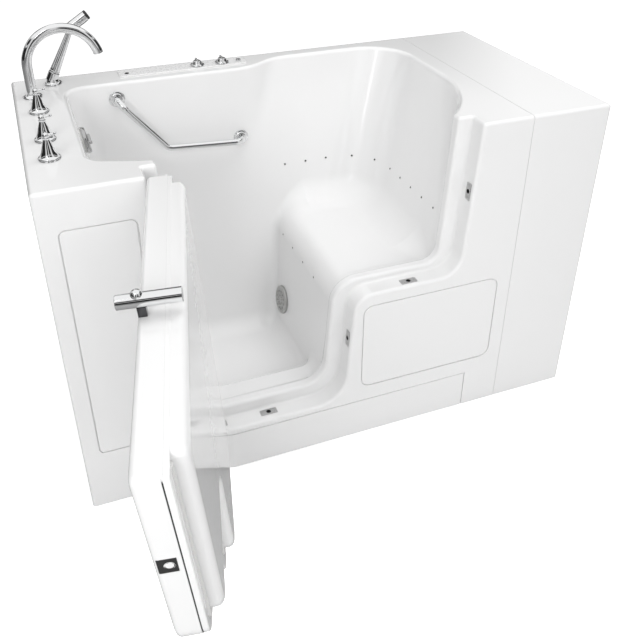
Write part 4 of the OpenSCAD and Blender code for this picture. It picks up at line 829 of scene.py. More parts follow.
def swing_open(points):
    """Turns drawing points about the hinge line, from the closed doorway to the open door."""
    spin = Matrix.Rotation(math.radians(door_turn), 3, Vector(hinge_line))
    return (np.asarray(points, float) - hinge_point) @ np.array(spin).T + hinge_point


def open_with_door(piece):
    """Swings a piece that was made in the closed doorway out with the open door."""
    opened = to_room(swing_open(drawn_points(piece.data)))
    piece.data.vertices.foreach_set("co", opened.ravel())
    piece.data.update()


def rounded_edge(y0, y1, radius, steps=5):
    """Depth and inset of the rings that round an edge, from a side that starts at y0 to a face at
    y1."""
    rings = []
    for k in range(steps + 1):
        s, c = sin_cos(90 * k / steps)
        rings.append((y0 + (y1 - y0) * s, radius * (1 - c)))
    return rings


def hinge_pocket(z):
    """A cutter for the room that a pair of hinge leaves and its pin need in the door's edge."""
    along = hinge_line / np.linalg.norm(hinge_line)
    side = np.array((1.0, 0.0, 0.0)) - along * along[0]
    side /= np.linalg.norm(side)
    back = np.cross(along, side)
    middle = hinge_point + hinge_line * (z - deck_height)
    turn = np.radians(np.linspace(-90, 180, 28))
    outline = [(0, -pocket_reach)]
    outline += [(pocket_radius * math.cos(t), pocket_radius * math.sin(t)) for t in turn]
    outline += [(-pocket_reach, 0), (-pocket_reach, -pocket_reach)]
    return loft([np.array([middle + side * a + back * b + along * h for a, b in outline])
                 for h in (-pocket_half, pocket_half)])


def door_piece(name, rings, cutters, node):
    """A moulding of the door, from its rings in the closed doorway."""
    made = mesh_piece(name, *loft(rings), gelcoat, "gelcoat", "door")
    outwards(made)
    if cutters:
        carve(made, cutters)
    harden(made, 32)
    open_with_door(made)
    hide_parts(node)


pan_rings = [door_ring(y, all_round(door_gap + e), e)
             for y, e in rounded_edge(pan_edge, 0, pan_edge)[::-1]]
for before_back, e in ((1.2, 0), (0.3, 0.4), (0, 1.4)):
    pan_rings.append(door_ring(pan_thick - before_back, all_round(door_gap + e), e))
bolts = bolt_places(door_gap)
s, c = sin_cos(strike_side[2])
jamb_frame = np.array([(-s, 0, -c), (0, 1, 0), (c, 0, -s)])
recess_ring = np.array([(-18, -18.5, 0), (18, -18.5, 0), (18, 12.5, 0), (-18, 12.5, 0)])
face_recess = loft([(recess_ring + (0, 0, h)) @ jamb_frame + bolts[0][0] for h in (-2, 9)])
door_piece("door_pan", pan_rings, [hinge_pocket(z) for z in hinge_zs] + [
    hole(at, towards, 9.0, 26) for at, towards in bolts] + [face_recess], "door_outer_skin")

flange_back = pan_thick + seam_thick
plug_front = flange_back + flange_thick
rim_front = plug_front + rim_rise
widths = np.array(ledge_widths) + door_gap
rim_inside = widths - gasket_width - gasket_gap
plug_rings = []
for y, e in ((flange_back, 2.2), (flange_back + 0.4, 1.3), (flange_back + 1.4, 1.0),
             (rim_front - 2.6, 1.0), (rim_front - 1.0, 1.5), (rim_front - 0.3, 2.5), (rim_front, 4.0)):
    plug_rings.append(door_ring(y, all_round(door_gap + e), min(e, 2.0)))
for y, inset in ((rim_front, rim_inside - 1.5), (rim_front - 0.5, rim_inside - 0.3),
                 (plug_front + 0.5, rim_inside + 0.6), (plug_front, rim_inside + 1.4),
                 (plug_front, widths - 0.5), (plug_front + 1.5, widths)):
    plug_rings.append(door_ring(y, inset, 2.0))
for y, e in rounded_edge(door_thick - plug_edge, door_thick, plug_edge):
    plug_rings.append(door_ring(y, widths + e, e + 1.2))
door_piece("door_plug", plug_rings, [], "door_inner_skin")


# ---- Door seal -----------------------------------------------------------------------------------
# A soft white rubber bulb, 12 mm wide, that lies on the door's flange all round its plug except
# along the top. The frame's first ledge presses it flat when the door is shut.
strip_drop = 6.0
seal_white = material("seal_white", (0.72, 0.72, 0.71), 0.45, speck=0.06, scale=220)


def strip_round_door(name, section, finish, slot, node):
    """A strip along the sides and the bottom of the door, from the last point of its first corner
    to the first point of its last. The section gives, for each point across the strip, its inset
    at each side and its depth in the door."""
    lines = []
    for inset, depth in section:
        outline = door_outline(inset, deck_height - strip_drop)
        number = np.arange(len(outline))
        kept = outline[:, 1] < deck_height - strip_drop - 8
        kept |= (number == corner_steps) | (number == len(outline) - 1 - corner_steps)
        lines.append(front_ring(outline[kept], depth))
    points, faces = loft([np.array([line[i] for line in lines]) for i in range(len(lines[0]))])
    made = mesh_piece(name, swing_open(points), faces, finish, slot, "door")
    outwards(made)
    harden(made, 50)
    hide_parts(node)


gasket_section = [(widths - gasket_width * (1 - u), plug_front + gasket_height * h) for u, h in (
    (0.0, 0.0), (0.0, 0.45), (0.06, 0.78), (0.2, 0.95), (0.4, 1.0), (0.62, 0.97), (0.82, 0.8),
    (0.95, 0.5), (1.0, 0.0))]
strip_round_door("gasket", gasket_section, seal_white, "seal_rubber", "door_gasket")


# ---- Door seam -----------------------------------------------------------------------------------
# The black sealing bead in the seam of the two door mouldings. Along the top the mouldings are
# joined flush with gelcoat, so that the bead shows only at the sides and underneath.
filler_inset, filler_deep, filler_low, filler_drop = 3.0, 2.0, 12.0, 0.3
bead_black = material("bead_black", (0.015, 0.015, 0.015), 0.5)
bead_section = [(all_round(e), y) for e, y in (
    (6.0, pan_thick - 0.2), (4.9, pan_thick + 0.1), (4.6, pan_thick + 0.7),
    (4.9, pan_thick + seam_thick - 0.1), (6.0, pan_thick + seam_thick + 0.2))]
strip_round_door("seam_bead", bead_section, bead_black, "black_rubber", "door_seam_strip")
filler_z = deck_height - door_gap
seam_filler = mesh_piece("seam_filler", *box_points(
    (edge_at(filler_z, hinge_side) + door_gap + filler_inset, pan_thick - filler_deep,
     deck_height - filler_low),
    (edge_at(filler_z, strike_side) - door_gap - filler_inset, flange_back + filler_deep,
     deck_height - filler_drop)), gelcoat, "gelcoat", "door")
edit(seam_filler, lambda m: bmesh.ops.bevel(
    m, geom=m.edges[:], offset=0.4 * mm, segments=2, profile=0.5, affect="EDGES"))
open_with_door(seam_filler)
harden(seam_filler)


# ---- Air jets ------------------------------------------------------------------------------------
# Fifteen small jets pressed into bores of the seat's walls and of the riser: a thin white collar
# round a dark grille with a hole in the middle.
jet_white = material("jet_white", (0.74, 0.74, 0.74), 0.25)
jet_dark = material("jet_dark", (0.02, 0.02, 0.02), 0.35)


def islands(node):
    """The separate solids of a node, each as its points in drawing millimetres."""
    whole = bmesh.new()
    whole.from_mesh(nodes[node].data)
    bmesh.ops.remove_doubles(whole, verts=whole.verts[:], dist=1e-6)
    found, groups = set(), []
    for start in whole.verts:
        if start in found:
            continue
        group, open_verts = [], [start]
        found.add(start)
        while open_verts:
            v = open_verts.pop()
            group.append(v.co[:])
            for e in v.link_edges:
                other = e.other_vert(v)
                if other not in found:
                    found.add(other)
                    open_verts.append(other)
        groups.append(to_drawing(group))
    whole.free()
    return groups


def head_of(points):
    """Where a turned solid's wide end is, and which way it faces."""
    middle = points.mean(axis=0)
    axis = np.linalg.svd(points - middle)[2]
    best = None
    for direction in axis:
        along = (points - middle) @ direction
        across = np.linalg.norm(points - middle - along[:, None] * direction, axis=1)
        spread = across.max()
        if best is None or np.ptp(along) / spread > best[0]:
            best = (np.ptp(along) / spread, direction, along, across)
    _, direction, along, across = best
    wide = along[across > across.max() * 0.98]
    if wide.mean() < 0:
        direction, along = -direction, -along
    return middle + direction * along.max(), direction


collar = [(0.5, -9), (3.4, -9), (3.5, -8.6), (3.5, -1.5), (4.9, -1.45), (5.0, -1.1), (4.7, -0.55),
          (4.0, -0.3), (3.3, -0.3), (3.1, -0.7), (0.5, -0.7)]
grille = [(0.5, -4), (3.0, -4), (3.05, -0.5), (2.7, 0.0), (1.1, 0.2), (0.9, -0.3), (0.3, -0.4)]
for node in ("seat_air_jets", "riser_air_jets"):
    places = [head_of(p) for p in islands(node)]
    for name, profile, finish in (("collars", collar, jet_white), ("grilles", grille, jet_dark)):
        made = mesh_piece(node + "_" + name, *joined(*[turned(profile, *p) for p in places]),
                          finish, "jet_plastic", "tub")
        outwards(made)
        harden(made, 40)
        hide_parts(node)


# ---- Latch ---------------------------------------------------------------------------------------
# A square chromed post on the door's top carries a round lever bar with a ball on it. Turning it
# draws five steel bolts back through their guides; a black face plate frames the topmost one.
chrome = material("chrome", (0.86, 0.865, 0.87), 0.045, metal=1.0, speck=0.015, scale=14)
brushed = material("brushed_steel", (0.5, 0.5, 0.5), 0.3, metal=1.0, speck=0.1, scale=260)
plate_black = material("plate_black", (0.018, 0.018, 0.018), 0.38, speck=0.1, scale=300)
# Painted dark reflection: the post's chrome is near black, far darker than chrome's own colour, to stand
# in for the dark reflection along the post.
post_chrome_painted_dark = material("post_chrome_painted_dark", (0.11, 0.11, 0.115), 0.08, metal=1.0, speck=0.02, scale=20)
# Painted shade: near black, for sleeves that stand in for the shade inside holes.
painted_hole_shade = material("painted_hole_shade", (0.01, 0.01, 0.01), 0.6)


def fitting(name, parts, finish, slot, node, body, cutters=(), on_door=False):
    """Closed skins joined into one piece that stands in for a node."""
    made = mesh_piece(name, *joined(*parts), finish, slot, body)
    outwards(made)
    if cutters:
        carve(made, cutters)
    harden(made, 40)
    if on_door:
        open_with_door(made)
    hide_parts(node)


def flat_ring(outline, z):
    """An outline seen from above, set at a height."""
    return np.insert(np.asarray(outline, float), 2, z, axis=1)


def soft_block(low, high, corner, edge):
    """A block with rounded upright corners and rounded upper and lower edges."""
    (x, y, z), (x2, y2, z2) = low, high
    rings = []
    for height, inset in ((z, edge), (z + 0.3 * edge, 0.3 * edge), (z + edge, 0), (z2 - edge, 0),
                          (z2 - 0.3 * edge, 0.3 * edge), (z2, edge)):
        rings.append(flat_ring(rounded_rectangle(
            x + inset, y + inset, x2 - inset, y2 - inset, max(corner - inset, 0.1), 5), height))
    return loft(rings)


def placed(part, at, towards):
    """Stands a part that is drawn along Z at a point, facing the given way."""
    points, faces = part
    ahead = np.asarray(towards, float) / np.linalg.norm(towards)
    level = np.array((0.0, 1.0, 0.0))
    across = np.cross(level, ahead)
    if np.linalg.norm(across) < 0.1:
        level = np.array((0.0, 0.0, 1.0))
        across = np.cross(level, ahead)
    across /= np.linalg.norm(across)
    return np.asarray(points) @ np.array([across, np.cross(ahead, across), ahead]) + at, faces


def ring_part(profile, at, axis, count=32):
    """A turned ring: like a turned part, but open in the middle."""
    points, faces = turned(profile + profile[:1], at, axis, count)
    last = len(points) - count
    return points[:last], [[i % last for i in f] for f in faces[:-2]]


def dome(radius, low, high, count):
    """The profile of a ball, from one angle above its waist to another."""
    turn = np.radians(np.linspace(low, high, count))
    return [(radius * math.cos(t), radius * math.sin(t)) for t in turn]


upright, origin = (0, 0, 1), (0, 0, 0)
lever_at = np.array((760.0, 10.5, deck_height))
bar_height, bar_radius, bar_out, bar_length, ball_radius = 32.0, 13.5, 41.0, 113.0, 11.0
post_half, shaft_radius, shaft_length = 8.0, 4.0, 60.0
fitting("lever_post", [
    soft_block(lever_at + (-post_half, -post_half, 0.4),
               lever_at + (post_half, post_half, bar_height - bar_radius + 2), 1.2, 0.6),
    round_bar(lever_at - (0, 0, shaft_length), lever_at + (0, 0, 2), shaft_radius)],
    post_chrome_painted_dark, "chrome", "lever_shaft", "lever", on_door=True)
bar_start = lever_at + (0, -bar_out, bar_height)
ball_at = lever_at + (0, -4, bar_height + bar_radius - 3)
bar_end = [(bar_radius - 1.7, 0), (bar_radius - 0.9, 0.25), (bar_radius - 0.3, 0.8), (bar_radius, 1.6)]
bar_profile = bar_end + [(r, bar_length - h) for r, h in bar_end[::-1]]
ball_collar = [(9.0, -1.0), (9.6, -0.6), (9.6, 1.6), (9.0, 2.1)]
fitting("lever_bar_and_ball", [
    turned(bar_profile, bar_start, (0, 1, 0), 48),
    turned(dome(ball_radius, -88, 88, 21), ball_at, upright, 32),
    turned(ball_collar, ball_at - (0, 0, 7.5), upright, 32)],
    chrome, "chrome", "lever_bar", "lever", on_door=True)

jamb_at, jamb_towards = bolts[0]
fitting("face_plate", [
    placed(soft_block((-17.5, -18, -2), (17.5, 12, 0), 1.5, 0.4), jamb_at, jamb_towards)],
    plate_black, "black_plastic", "latch_face_plate", "door",
    [hole(jamb_at, jamb_towards, 6.6, 6, 3)], on_door=True)
screw_head = [(3.1, -1.6), (3.1, -0.25), (2.8, -0.05), (1.9, -0.02), (1.6, -0.5), (0.3, -0.55)]
fitting("face_plate_screws", [
    placed(turned(screw_head, (x, -3, 0), upright, 20), jamb_at, jamb_towards) for x in (-12.5, 12.5)],
    brushed, "stainless", "latch_face_plate", "door", on_door=True)
guide = [(6.55, -21.5), (9.0, -21.5), (9.0, -0.4), (8.7, -0.05), (7.0, -0.05), (6.55, -0.5)]
guide_depths = (1.95, 0.45, 0.45, 0.45, 0.45)
fitting("guide_tubes", [
    placed(ring_part([(r, h - depth) for r, h in guide], origin, upright), at, towards)
    for depth, (at, towards) in zip(guide_depths, bolts)],
    brushed, "stainless", "bolt_guides", "door", on_door=True)
bolt_profile = [(5.3, -34.9), (5.98, -34.2), (5.98, -3.2), (5.4, -2.5), (4.4, -1.5), (3.6, -1.05),
                (1.2, -1.05), (0.9, -1.6)]
bolt = turned(bolt_profile, origin, upright, 28)
for name, shot_by in (("jamb_bolt", bolts[:1]), ("riser_bolt", bolts[1:2]),
                      ("sill_bolt", bolts[2:3]), ("threshold_bolts", bolts[3:])):
    fitting(name + "_turned", [placed(bolt, at, towards) for at, towards in shot_by],
            brushed, "chrome", name, name, on_door=True)


# ---- Strike plates -------------------------------------------------------------------------------
# Brushed steel plates screwed to the frame's first ledge, each over the hole that its bolt enters.
# A near-black sleeve in each hole is painted shade that darkens the view into it.
strike_plate = soft_block((-25, -11, 0.03), (25, 11, 1.5), 3.0, 0.35)
strike_screw = [(3.45, 1.5), (3.3, 2.1), (2.2, 2.42), (1.5, 2.45), (1.2, 1.9), (0.3, 1.85)]
# Painted shade: a near-black sleeve inside each strike hole.
shade_sleeve = ring_part([(6.4, -7.5), (6.7, -7.5), (6.7, 1.2), (6.4, 1.2)], origin, upright, 24)
outward = [(at, -np.asarray(towards, float)) for at, towards in strikes]
fitting("strikes", [placed(strike_plate, at, away) for at, away in outward],
        brushed, "chrome", "strike_plates", "tub",
        [hole(at, away, strike_hole, 6, 6) for at, away in outward])
fitting("strike_hole_shade_sleeves", [placed(shade_sleeve, at, away) for at, away in outward],
        painted_hole_shade, "black_plastic", "strike_plates", "tub")
fitting("strike_plate_screws", [
    placed(turned(strike_screw, (x, 0, 0), upright, 20), at, away)
    for at, away in outward for x in (-18, 18)], brushed, "stainless", "strike_screws", "tub")


# ---- Tap handles ---------------------------------------------------------------------------------
# Three spun and chromed bells on round bases, each with a ball finial and a small turned arm.
tap_x, tap_ys = 60.0, (180.0, 299.0, 499.0)
finial_height, finial_radius, arm_rise, arm_turn = 58, 7.9, 78, -20
bell = [(24.4, 4.15), (24.9, 4.5), (24.95, 5.6), (24.2, 6.6), (22.0, 8.2), (19.6, 11.4), (17.6, 15.6),
        (15.9, 20.6), (14.3, 26.4), (12.5, 32.4), (10.6, 38.2), (8.9, 43.6), (7.6, 48.4),
        (7.5, 49.4), (8.6, 50.2), (8.8, 51.0), (8.0, 51.8), (6.2, 52.3)]
arm = [(3.0, 0), (3.9, 5.0), (3.7, 9.0), (3.0, 14.0), (2.6, 19.0), (2.7, 21.0), (3.5, 22.6),
       (3.6, 24.2), (2.9, 25.8), (1.4, 26.6)]
base_ring = [(12.05, 0.05), (26.6, 0.05), (26.95, 0.4), (26.95, 2.2), (26.3, 3.4), (24.9, 3.95),
             (12.05, 3.95)]
(reach, rise), (aside, ahead) = sin_cos(arm_rise), sin_cos(arm_turn)
arm_along = (reach * ahead, reach * aside, rise)
for name, y in zip(("cold_handle", "diverter_handle", "hot_handle"), tap_ys):
    foot = np.array((tap_x, y, deck_height))
    top = foot + (0, 0, finial_height)
    fitting(name + "_bell", [
        turned(bell, foot, upright, 48), turned(dome(finial_radius, -80, 88, 17), top, upright, 28),
        turned(arm, top, arm_along, 20)], chrome, "chrome", name, name)
fitting("tap_base_rings", [ring_part(base_ring, (tap_x, y, deck_height), upright, 48) for y in tap_ys],
        chrome, "chrome", "tap_bases", "tub")


# ---- Spout ---------------------------------------------------------------------------------------
# A swan neck bent from chromed tube, that turns in a round foot. A black perforated aerator sits
# just inside its cut end.
spout_foot = np.array((52.0, 627.0, deck_height))
spout_rise, spout_bend, spout_turn, tube_radius = 84.0, 98.0, 168.0, 13.5
neck_heights, neck_foot_radii = (10.4, 10.7, 11.4, 20, 40, 62), [12.4, 13.1]
tube_lip = [(13.48, -7.4), (13.1, -7.2), (13.1, -6.6), (13.5, -6.4), (13.55, -0.5), (13.2, -0.12),
            (12.0, -0.05), (11.4, -0.5), (11.3, -2.2), (0.5, -2.3)]
spout_ring = [(10.2, -30), (11.9, -30), (11.9, 0.05), (26.6, 0.05), (26.95, 0.4), (26.95, 2.4),
              (26.2, 3.5), (24.0, 4.0), (21.6, 4.6), (19.4, 6.0), (17.8, 8.0), (16.9, 9.6),
              (16.2, 9.95), (10.2, 9.95)]
sieve = [(10.2, -2.6), (10.3, -1.3), (9.2, -0.9), (8.8, -1.3), (6.6, -1.3), (6.3, -0.9), (5.7, -0.9),
         (5.4, -1.3), (3.2, -1.3), (2.9, -0.9), (1.0, -0.9)]


def swept(path, radii, count=32):
    """A round skin that follows a path, with its own radius at each point."""
    path = np.asarray(path, float)
    along = np.gradient(path, axis=0)
    along /= np.linalg.norm(along, axis=1)[:, None]
    side = np.cross(along[0], (0.31, 0.73, 0.61))
    turn = np.linspace(0, 2 * math.pi, count, endpoint=False)[:, None]
    rings = []
    for point, ahead, radius in zip(path, along, radii):
        side = side - ahead * (side @ ahead)
        side /= np.linalg.norm(side)
        rings.append(point + radius * (np.cos(turn) * side + np.sin(turn) * np.cross(ahead, side)))
    return loft(rings)


def on_bend(turned_by):
    """A point of the neck's round bend, after a turn from its foot."""
    s, c = sin_cos(turned_by)
    return spout_foot + (spout_bend * (1 - c), 0, spout_rise + spout_bend * s)


neck = [spout_foot + (0, 0, h) for h in neck_heights]
neck += [on_bend(t) for t in np.linspace(0, spout_turn, 57)[:-1]]
neck_radii = neck_foot_radii + [tube_radius] * (len(neck) - len(neck_foot_radii))
s, c = sin_cos(spout_turn)
spout_end, spout_along = on_bend(spout_turn), np.array((s, 0, c))
fitting("spout_tube", [swept(neck, neck_radii), turned(tube_lip, spout_end, spout_along, 32)],
        chrome, "chrome", "spout_neck", "spout")
fitting("spout_foot_ring", [ring_part(spout_ring, spout_foot, upright, 48)],
        chrome, "chrome", "spout_base", "tub")
fitting("spout_sieve", [turned(sieve, spout_end, spout_along, 28)],
        plate_black, "black_plastic", "spout_aerator", "spout")


# ---- Hand shower ---------------------------------------------------------------------------------
# A slim chromed handle stands at a slant in a chromed cradle. Its barrel head bends further over
# and carries a ribbed black spray face underneath and a black cap.
cradle_rise = 18
cradle_foot = np.array((115.0, 720.0, deck_height))
cradle = cradle_foot + (0, 0, cradle_rise)
shower_lean, head_lean, handle_length = 28.0, 30.0, 160.0
barrel_radius, flat_under, flat_start, flat_end = 14, 11, 6.5, 52
rib_count, rib_start, rib_pitch, rib_width, rib_half, end_rib_half = 9, 10.0, 4.6, 2.7, 7.6, 6.2
handle = [(10.6, 0.3), (10.9, 0.8), (10.9, 19.6), (13.8, 20.1), (14.6, 20.7), (14.8, 22.0),
          (14.5, 23.6), (14.0, 24.2), (14.2, 25.0), (13.6, 34), (12.4, 54), (11.2, 78), (10.0, 102),
          (8.9, 126), (8.1, 146), (8.0, 158)]
barrel = [(5.5, -7.9), (9.6, -7.2), (12.3, -5.2), (13.7, -2.2), (13.95, 1.0), (13.95, 50.0),
          (13.5, 50.6), (13.5, 51.2)]
cap = [(13.3, 50.9), (13.6, 51.4), (13.95, 51.8), (13.95, 56.2), (13.2, 57.5), (11.6, 57.9),
       (3.0, 57.9)]
cradle_stand = [(12.9, -36), (12.9, -0.5), (25.6, 0.05), (25.95, 0.4), (25.95, 3.4), (25.2, 4.5),
                (23.0, 4.95), (20.4, 5.4), (18.2, 7.6), (16.6, 11.6), (15.3, 16.0), (12.0, 17.4)]
cradle_cup = [(11.35, -7.6), (15.2, -7.9), (15.9, -7.2), (15.9, 16.6), (15.2, 17.7), (12.2, 17.9),
              (11.35, 17.2)]
s, c = sin_cos(shower_lean)
handle_along = np.array((s, 0, c))
s, c = sin_cos(shower_lean + head_lean)
head_along, head_under = np.array((s, 0, c)), np.array((c, 0, -s))
head_at = cradle + handle_along * handle_length


def on_head(along, across, under):
    """A point of the barrel head, from its start on the handle's end."""
    return head_at + head_along * along + np.array((0, 1.0, 0)) * across + head_under * under


def head_block(outline, *places):
    """A closed block under the head: an outline of across and under, drawn out along it."""
    return loft([np.array([on_head(a, b, u) for b, u in outline]) for a in places])


def bar_outline(half, low, high):
    return (-half, low), (half, low), (half, high), (-half, high)


fitting("shower_handle", [turned(handle, cradle, handle_along, 36)],
        chrome, "chrome", "shower_handset", "handset")
fitting("shower_barrel", [turned(barrel, head_at, head_along, 44)],
        chrome, "chrome", "shower_handset", "handset",
        [head_block(bar_outline(barrel_radius, flat_under, 20), flat_start, flat_end)])
fitting("shower_cap", [turned(cap, head_at, head_along, 44)],
        plate_black, "black_plastic", "shower_handset", "handset")
ribs = []
for k in range(rib_count):
    at = rib_start + rib_pitch * k
    half = rib_half if 0 < k < rib_count - 1 else end_rib_half
    outline = ((-half, flat_under), (half, flat_under), (half, 13.3), (half - 0.6, 13.6),
               (-half + 0.6, 13.6), (-half, 13.3))
    ribs.append(head_block(outline, at, at + rib_width))
ribs.append(head_block(bar_outline(7.2, flat_under + 0.1, 13.0), 9, 48.5))
fitting("spray_ribs", ribs, plate_black, "black_plastic", "shower_face", "handset")
fitting("cradle_stand", [
    turned(cradle_stand, cradle_foot, upright, 48), ring_part(cradle_cup, cradle, handle_along, 40)],
    chrome, "chrome", "shower_cradle", "tub")


# ---- Grab bar ------------------------------------------------------------------------------------
# One chromed tube with a bend in the middle. Both ends turn back to the well's back wall, into
# stepped round flanges.
grab_radius, grab_off, grab_bend, grab_sunk = 10.0, 46.0, 30.0, 7.2
grab_points = ((283, 918), (412, 760), (652, 745))
grab_flange = [(10.2, 0.5), (23.4, 0.3), (23.95, 0.8), (23.95, 3.2), (23.3, 4.3), (21.8, 4.9),
               (19.6, 5.2), (18.6, 5.9), (17.2, 7.7), (15.0, 8.6), (10.2, 8.9)]


def bent_path(corners, radius, count=12):
    """A path of straight lengths with a round bend at each corner."""
    path = [corners[0]]
    for before, corner, after in zip(corners, corners[1:], corners[2:]):
        back = (before - corner) / np.linalg.norm(before - corner)
        ahead = (after - corner) / np.linalg.norm(after - corner)
        half = math.acos(np.clip(back @ ahead, -1, 1)) / 2
        middle = (back + ahead) / np.linalg.norm(back + ahead)
        centre = corner + middle * radius / math.sin(half)
        start = corner + back * radius / math.tan(half) - centre
        end = corner + ahead * radius / math.tan(half) - centre
        turn = math.pi - 2 * half
        for t in np.linspace(0, 1, count):
            path.append(centre + (start * math.sin((1 - t) * turn) + end * math.sin(t * turn))
                        / math.sin(turn))
    path.append(corners[-1])
    return np.array(path)


grab_ends = [np.array((x, edge_at(z, well_wall), z), float) for x, z in (grab_points[0], grab_points[2])]
grab_y = grab_ends[0][1] - grab_off
corners = [grab_ends[0] - (0, grab_sunk, 0)] + [
    np.array((x, grab_y, z), float) for x, z in grab_points] + [grab_ends[1] - (0, grab_sunk, 0)]
bar_path = bent_path(corners, grab_bend)
fitting("grab_bar", [swept(bar_path, [grab_radius] * len(bar_path))],
        chrome, "chrome", "grab_bar_tube", "tub")
wall_slope = math.tan(math.radians(well_wall[2]))
fitting("grab_flanges", [ring_part(grab_flange, end, (0, -1, -wall_slope), 48) for end in grab_ends],
        chrome, "chrome", "grab_bar_flanges", "tub")


# ---- Overflow and drain --------------------------------------------------------------------------
# A chromed dial on the left wall works the waste's lift-up stopper. The dial has a finger bar
# across its dished face; the stopper is a domed chromed lid over a polished flange.
dial_y, dial_z = 500.0, 868.0
dial = [(3.85, -28.6), (3.85, 4.4), (36.5, 4.45), (37.7, 5.2), (37.95, 6.4), (37.95, 9.5),
        (37.2, 12.4), (35.4, 15.4), (33.0, 16.4), (30.4, 16.2), (27.0, 15.0), (20.0, 14.0), (0.8, 13.8)]
drain_ring = [(20.05, -20), (21.9, -20), (21.9, 0.05), (32.4, 0.1), (32.95, 0.5), (32.6, 1.4),
              (30.0, 2.35), (26.0, 2.45), (21.4, 2.3), (20.05, 1.2)]
stopper_lid = [(4.4, -36), (4.4, 2.9), (25.4, 2.95), (26.6, 3.3), (26.95, 4.0), (26.5, 4.9),
               (24.0, 5.6), (16.0, 6.4), (6.0, 6.75), (0.8, 6.78)]
satin_chrome = material("satin_chrome", (0.5, 0.5, 0.5), 0.14, metal=1.0, speck=0.03, scale=60)
dial_at = np.array((edge_at(dial_z, left_wall), dial_y, dial_z))
s, c = sin_cos(-left_wall[2])
dial_out = np.array((c, 0, s))
finger_bar = placed(soft_block((-5.5, -29, 12), (5.5, 29, 24.2), 5.0, 1.8), dial_at, dial_out)
fitting("dial_disc", [turned(dial, dial_at, dial_out, 64), finger_bar],
        satin_chrome, "chrome", "overflow_dial", "overflow_dial")
fitting("drain_ring", [ring_part(drain_ring, drain_at, upright, 56)],
        chrome, "chrome", "drain_flange", "tub")
fitting("stopper_lid", [turned(stopper_lid, drain_at, upright, 56)],
        chrome, "chrome", "drain_stopper", "drain_stopper")


# ---- Riser cover ---------------------------------------------------------------------------------
# A satin metal lid over the suction fitting in the riser, dished, with slots for the water.
cover_metal = material("cover_metal", (0.48, 0.48, 0.47), 0.36, metal=0.9, speck=0.08, scale=180)
cover_y, cover_z, slot_step = 454.0, 228.0, 30
slot_rows = ((30.5, 3.6), (15.6, 2.6))
lid = [(45.2, 0.3), (47.0, 0.6), (47.45, 1.6), (47.45, 6.6), (46.4, 8.7), (44.0, 9.75), (39.5, 9.9),
       (38.6, 9.2), (37.2, 9.2), (36.4, 9.9), (24.5, 9.9), (23.7, 9.2), (22.5, 9.2), (21.7, 9.9),
       (9.5, 9.9), (8.8, 9.2), (7.8, 9.2), (7.0, 9.9), (0.8, 9.9)]
s, c = sin_cos(riser_face[2])
cover_at, cover_out = np.array((edge_at(cover_z, riser_face), cover_y, cover_z)), np.array((-c, 0, s))
slots = []
for turn in range(0, 360, slot_step):
    s, c = sin_cos(turn)
    for reach, size in slot_rows:
        middle = placed((np.array([(reach * c, reach * s, 0.0)]), []), cover_at, cover_out)[0][0]
        slots.append(round_bar(middle + cover_out * 4, middle + cover_out * 20, size, 20, 0.01))
fitting("suction_lid", [turned(lid, cover_at, cover_out, 72)],
        cover_metal, "chrome", "riser_cover", "tub", slots)


# ---- Control strip -------------------------------------------------------------------------------
# A low white moulded strip on the back deck with two chromed turn knobs, a chromed push button and
# a small black window.
strip_white = material("strip_white", (0.76, 0.76, 0.76), 0.28, speck=0.05, scale=150)
strip_left, strip_right, strip_front, strip_back, strip_corner = 305, 700, 702, 766, 14
knob_y, knob_xs, button_x, window_x, strip_bore = 726.0, (545.0, 623.0), 676.0, 329.0, 5
strip_edges = ((1.4, 0.05), (0.4, 0.05), (0.0, 0.5), (0.0, 2.2), (0.5, 3.2), (1.4, 3.8), (3.0, 4.0))
knob_base = [(4.9, -12), (4.9, 4.4), (21.2, 4.4), (21.9, 4.9), (21.95, 6.4), (21.2, 7.6), (18.5, 8.2),
             (15.8, 8.9), (14.4, 11.0), (13.2, 15.0), (12.0, 18.4), (10.4, 19.6), (1.0, 19.9)]
button_cap = [(4.9, -11), (4.9, 6.8), (7.5, 6.85), (7.95, 7.3), (7.95, 8.6), (7.4, 9.3), (5.5, 9.6),
              (1.0, 9.65)]
window_lens = [(4.9, -7), (4.9, 4.05), (6.2, 4.1), (6.45, 4.5), (6.3, 5.4), (5.2, 5.9), (1.0, 5.98)]


def strip_outline(e):
    return rounded_rectangle(
        strip_left + e, strip_front + e, strip_right - e, strip_back - e, strip_corner - e)


def on_strip(x, height=0.0):
    return np.array((x, knob_y, deck_height + height))


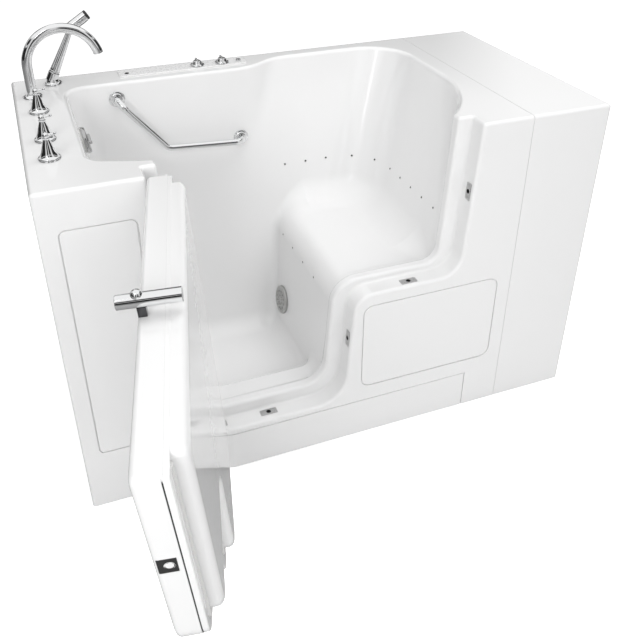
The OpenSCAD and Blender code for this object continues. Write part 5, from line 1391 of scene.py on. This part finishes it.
strip_rings = [flat_ring(strip_outline(e), deck_height + h) for e, h in strip_edges]
fitting("strip_moulding", [loft(strip_rings)], strip_white, "strip_plastic", "control_strip", "tub",
        [round_bar(on_strip(x, -4), on_strip(x, 12), strip_bore, 28, 0.01)
         for x in (*knob_xs, button_x, window_x)])
for name, x in zip(("air_knob_left", "air_knob_right"), knob_xs):
    grip = soft_block(on_strip(x) + (-2.9, -18.8, 7.0), on_strip(x) + (2.9, 18.8, 23.8), 2.8, 2.2)
    fitting(name + "_body", [turned(knob_base, on_strip(x), upright, 48), grip],
            chrome, "chrome", name, name)
fitting("button_cap", [turned(button_cap, on_strip(button_x), upright, 36)],
        chrome, "chrome", "air_button", "air_button")
fitting("window_lens", [turned(window_lens, on_strip(window_x), upright, 32)],
        plate_black, "black_plastic", "strip_indicator", "tub")


# ---- Hinges --------------------------------------------------------------------------------------
# Three pairs of chromed leaves, screwed to the door and to the frame's left ledge, turn on steel
# pins. The line of the pins leans with the doorway's left side.
def finish_solids(finish, *names):
    """Gives solids that stay as they were drawn their finish."""
    for node in names:
        nodes[node].data.materials.clear()
        nodes[node].data.materials.append(finish)


finish_solids(chrome, "hinge_frame_leaves", "hinge_door_leaves")
finish_solids(brushed, "hinge_pins")


# ---- Frame, feet and pipework --------------------------------------------------------------------
# What stands behind the panels: a welded and painted steel frame on threaded feet, steel brackets,
# the lock case, nuts, brass valve bodies, white waste and air pipes, and the black blower.
frame_paint = material("frame_paint", (0.16, 0.165, 0.17), 0.5, speck=0.12, scale=90, bump=0.15)
foot_rubber = material("foot_rubber", (0.025, 0.025, 0.025), 0.75, speck=0.08, scale=160, bump=0.2)
blower_black = material("blower_black", (0.03, 0.03, 0.03), 0.42, speck=0.1, scale=120, bump=0.1)
pipe_white = material("pipe_white", (0.74, 0.74, 0.72), 0.35, speck=0.06, scale=80)
cast_brass = material("cast_brass", (0.6, 0.42, 0.18), 0.32, metal=1.0, speck=0.1, scale=140)
finish_solids(frame_paint, "support_frame", "extension_brackets", "door_stiffener")
finish_solids(foot_rubber, "levelling_feet")
finish_solids(blower_black, "air_blower")
finish_solids(brushed, "foot_locknuts", "latch_case", "tap_locknuts")
finish_solids(cast_brass, "tap_valve_bodies")
finish_solids(pipe_white, "overflow_body", "overflow_pipe", "riser_suction_body", "air_pipe")
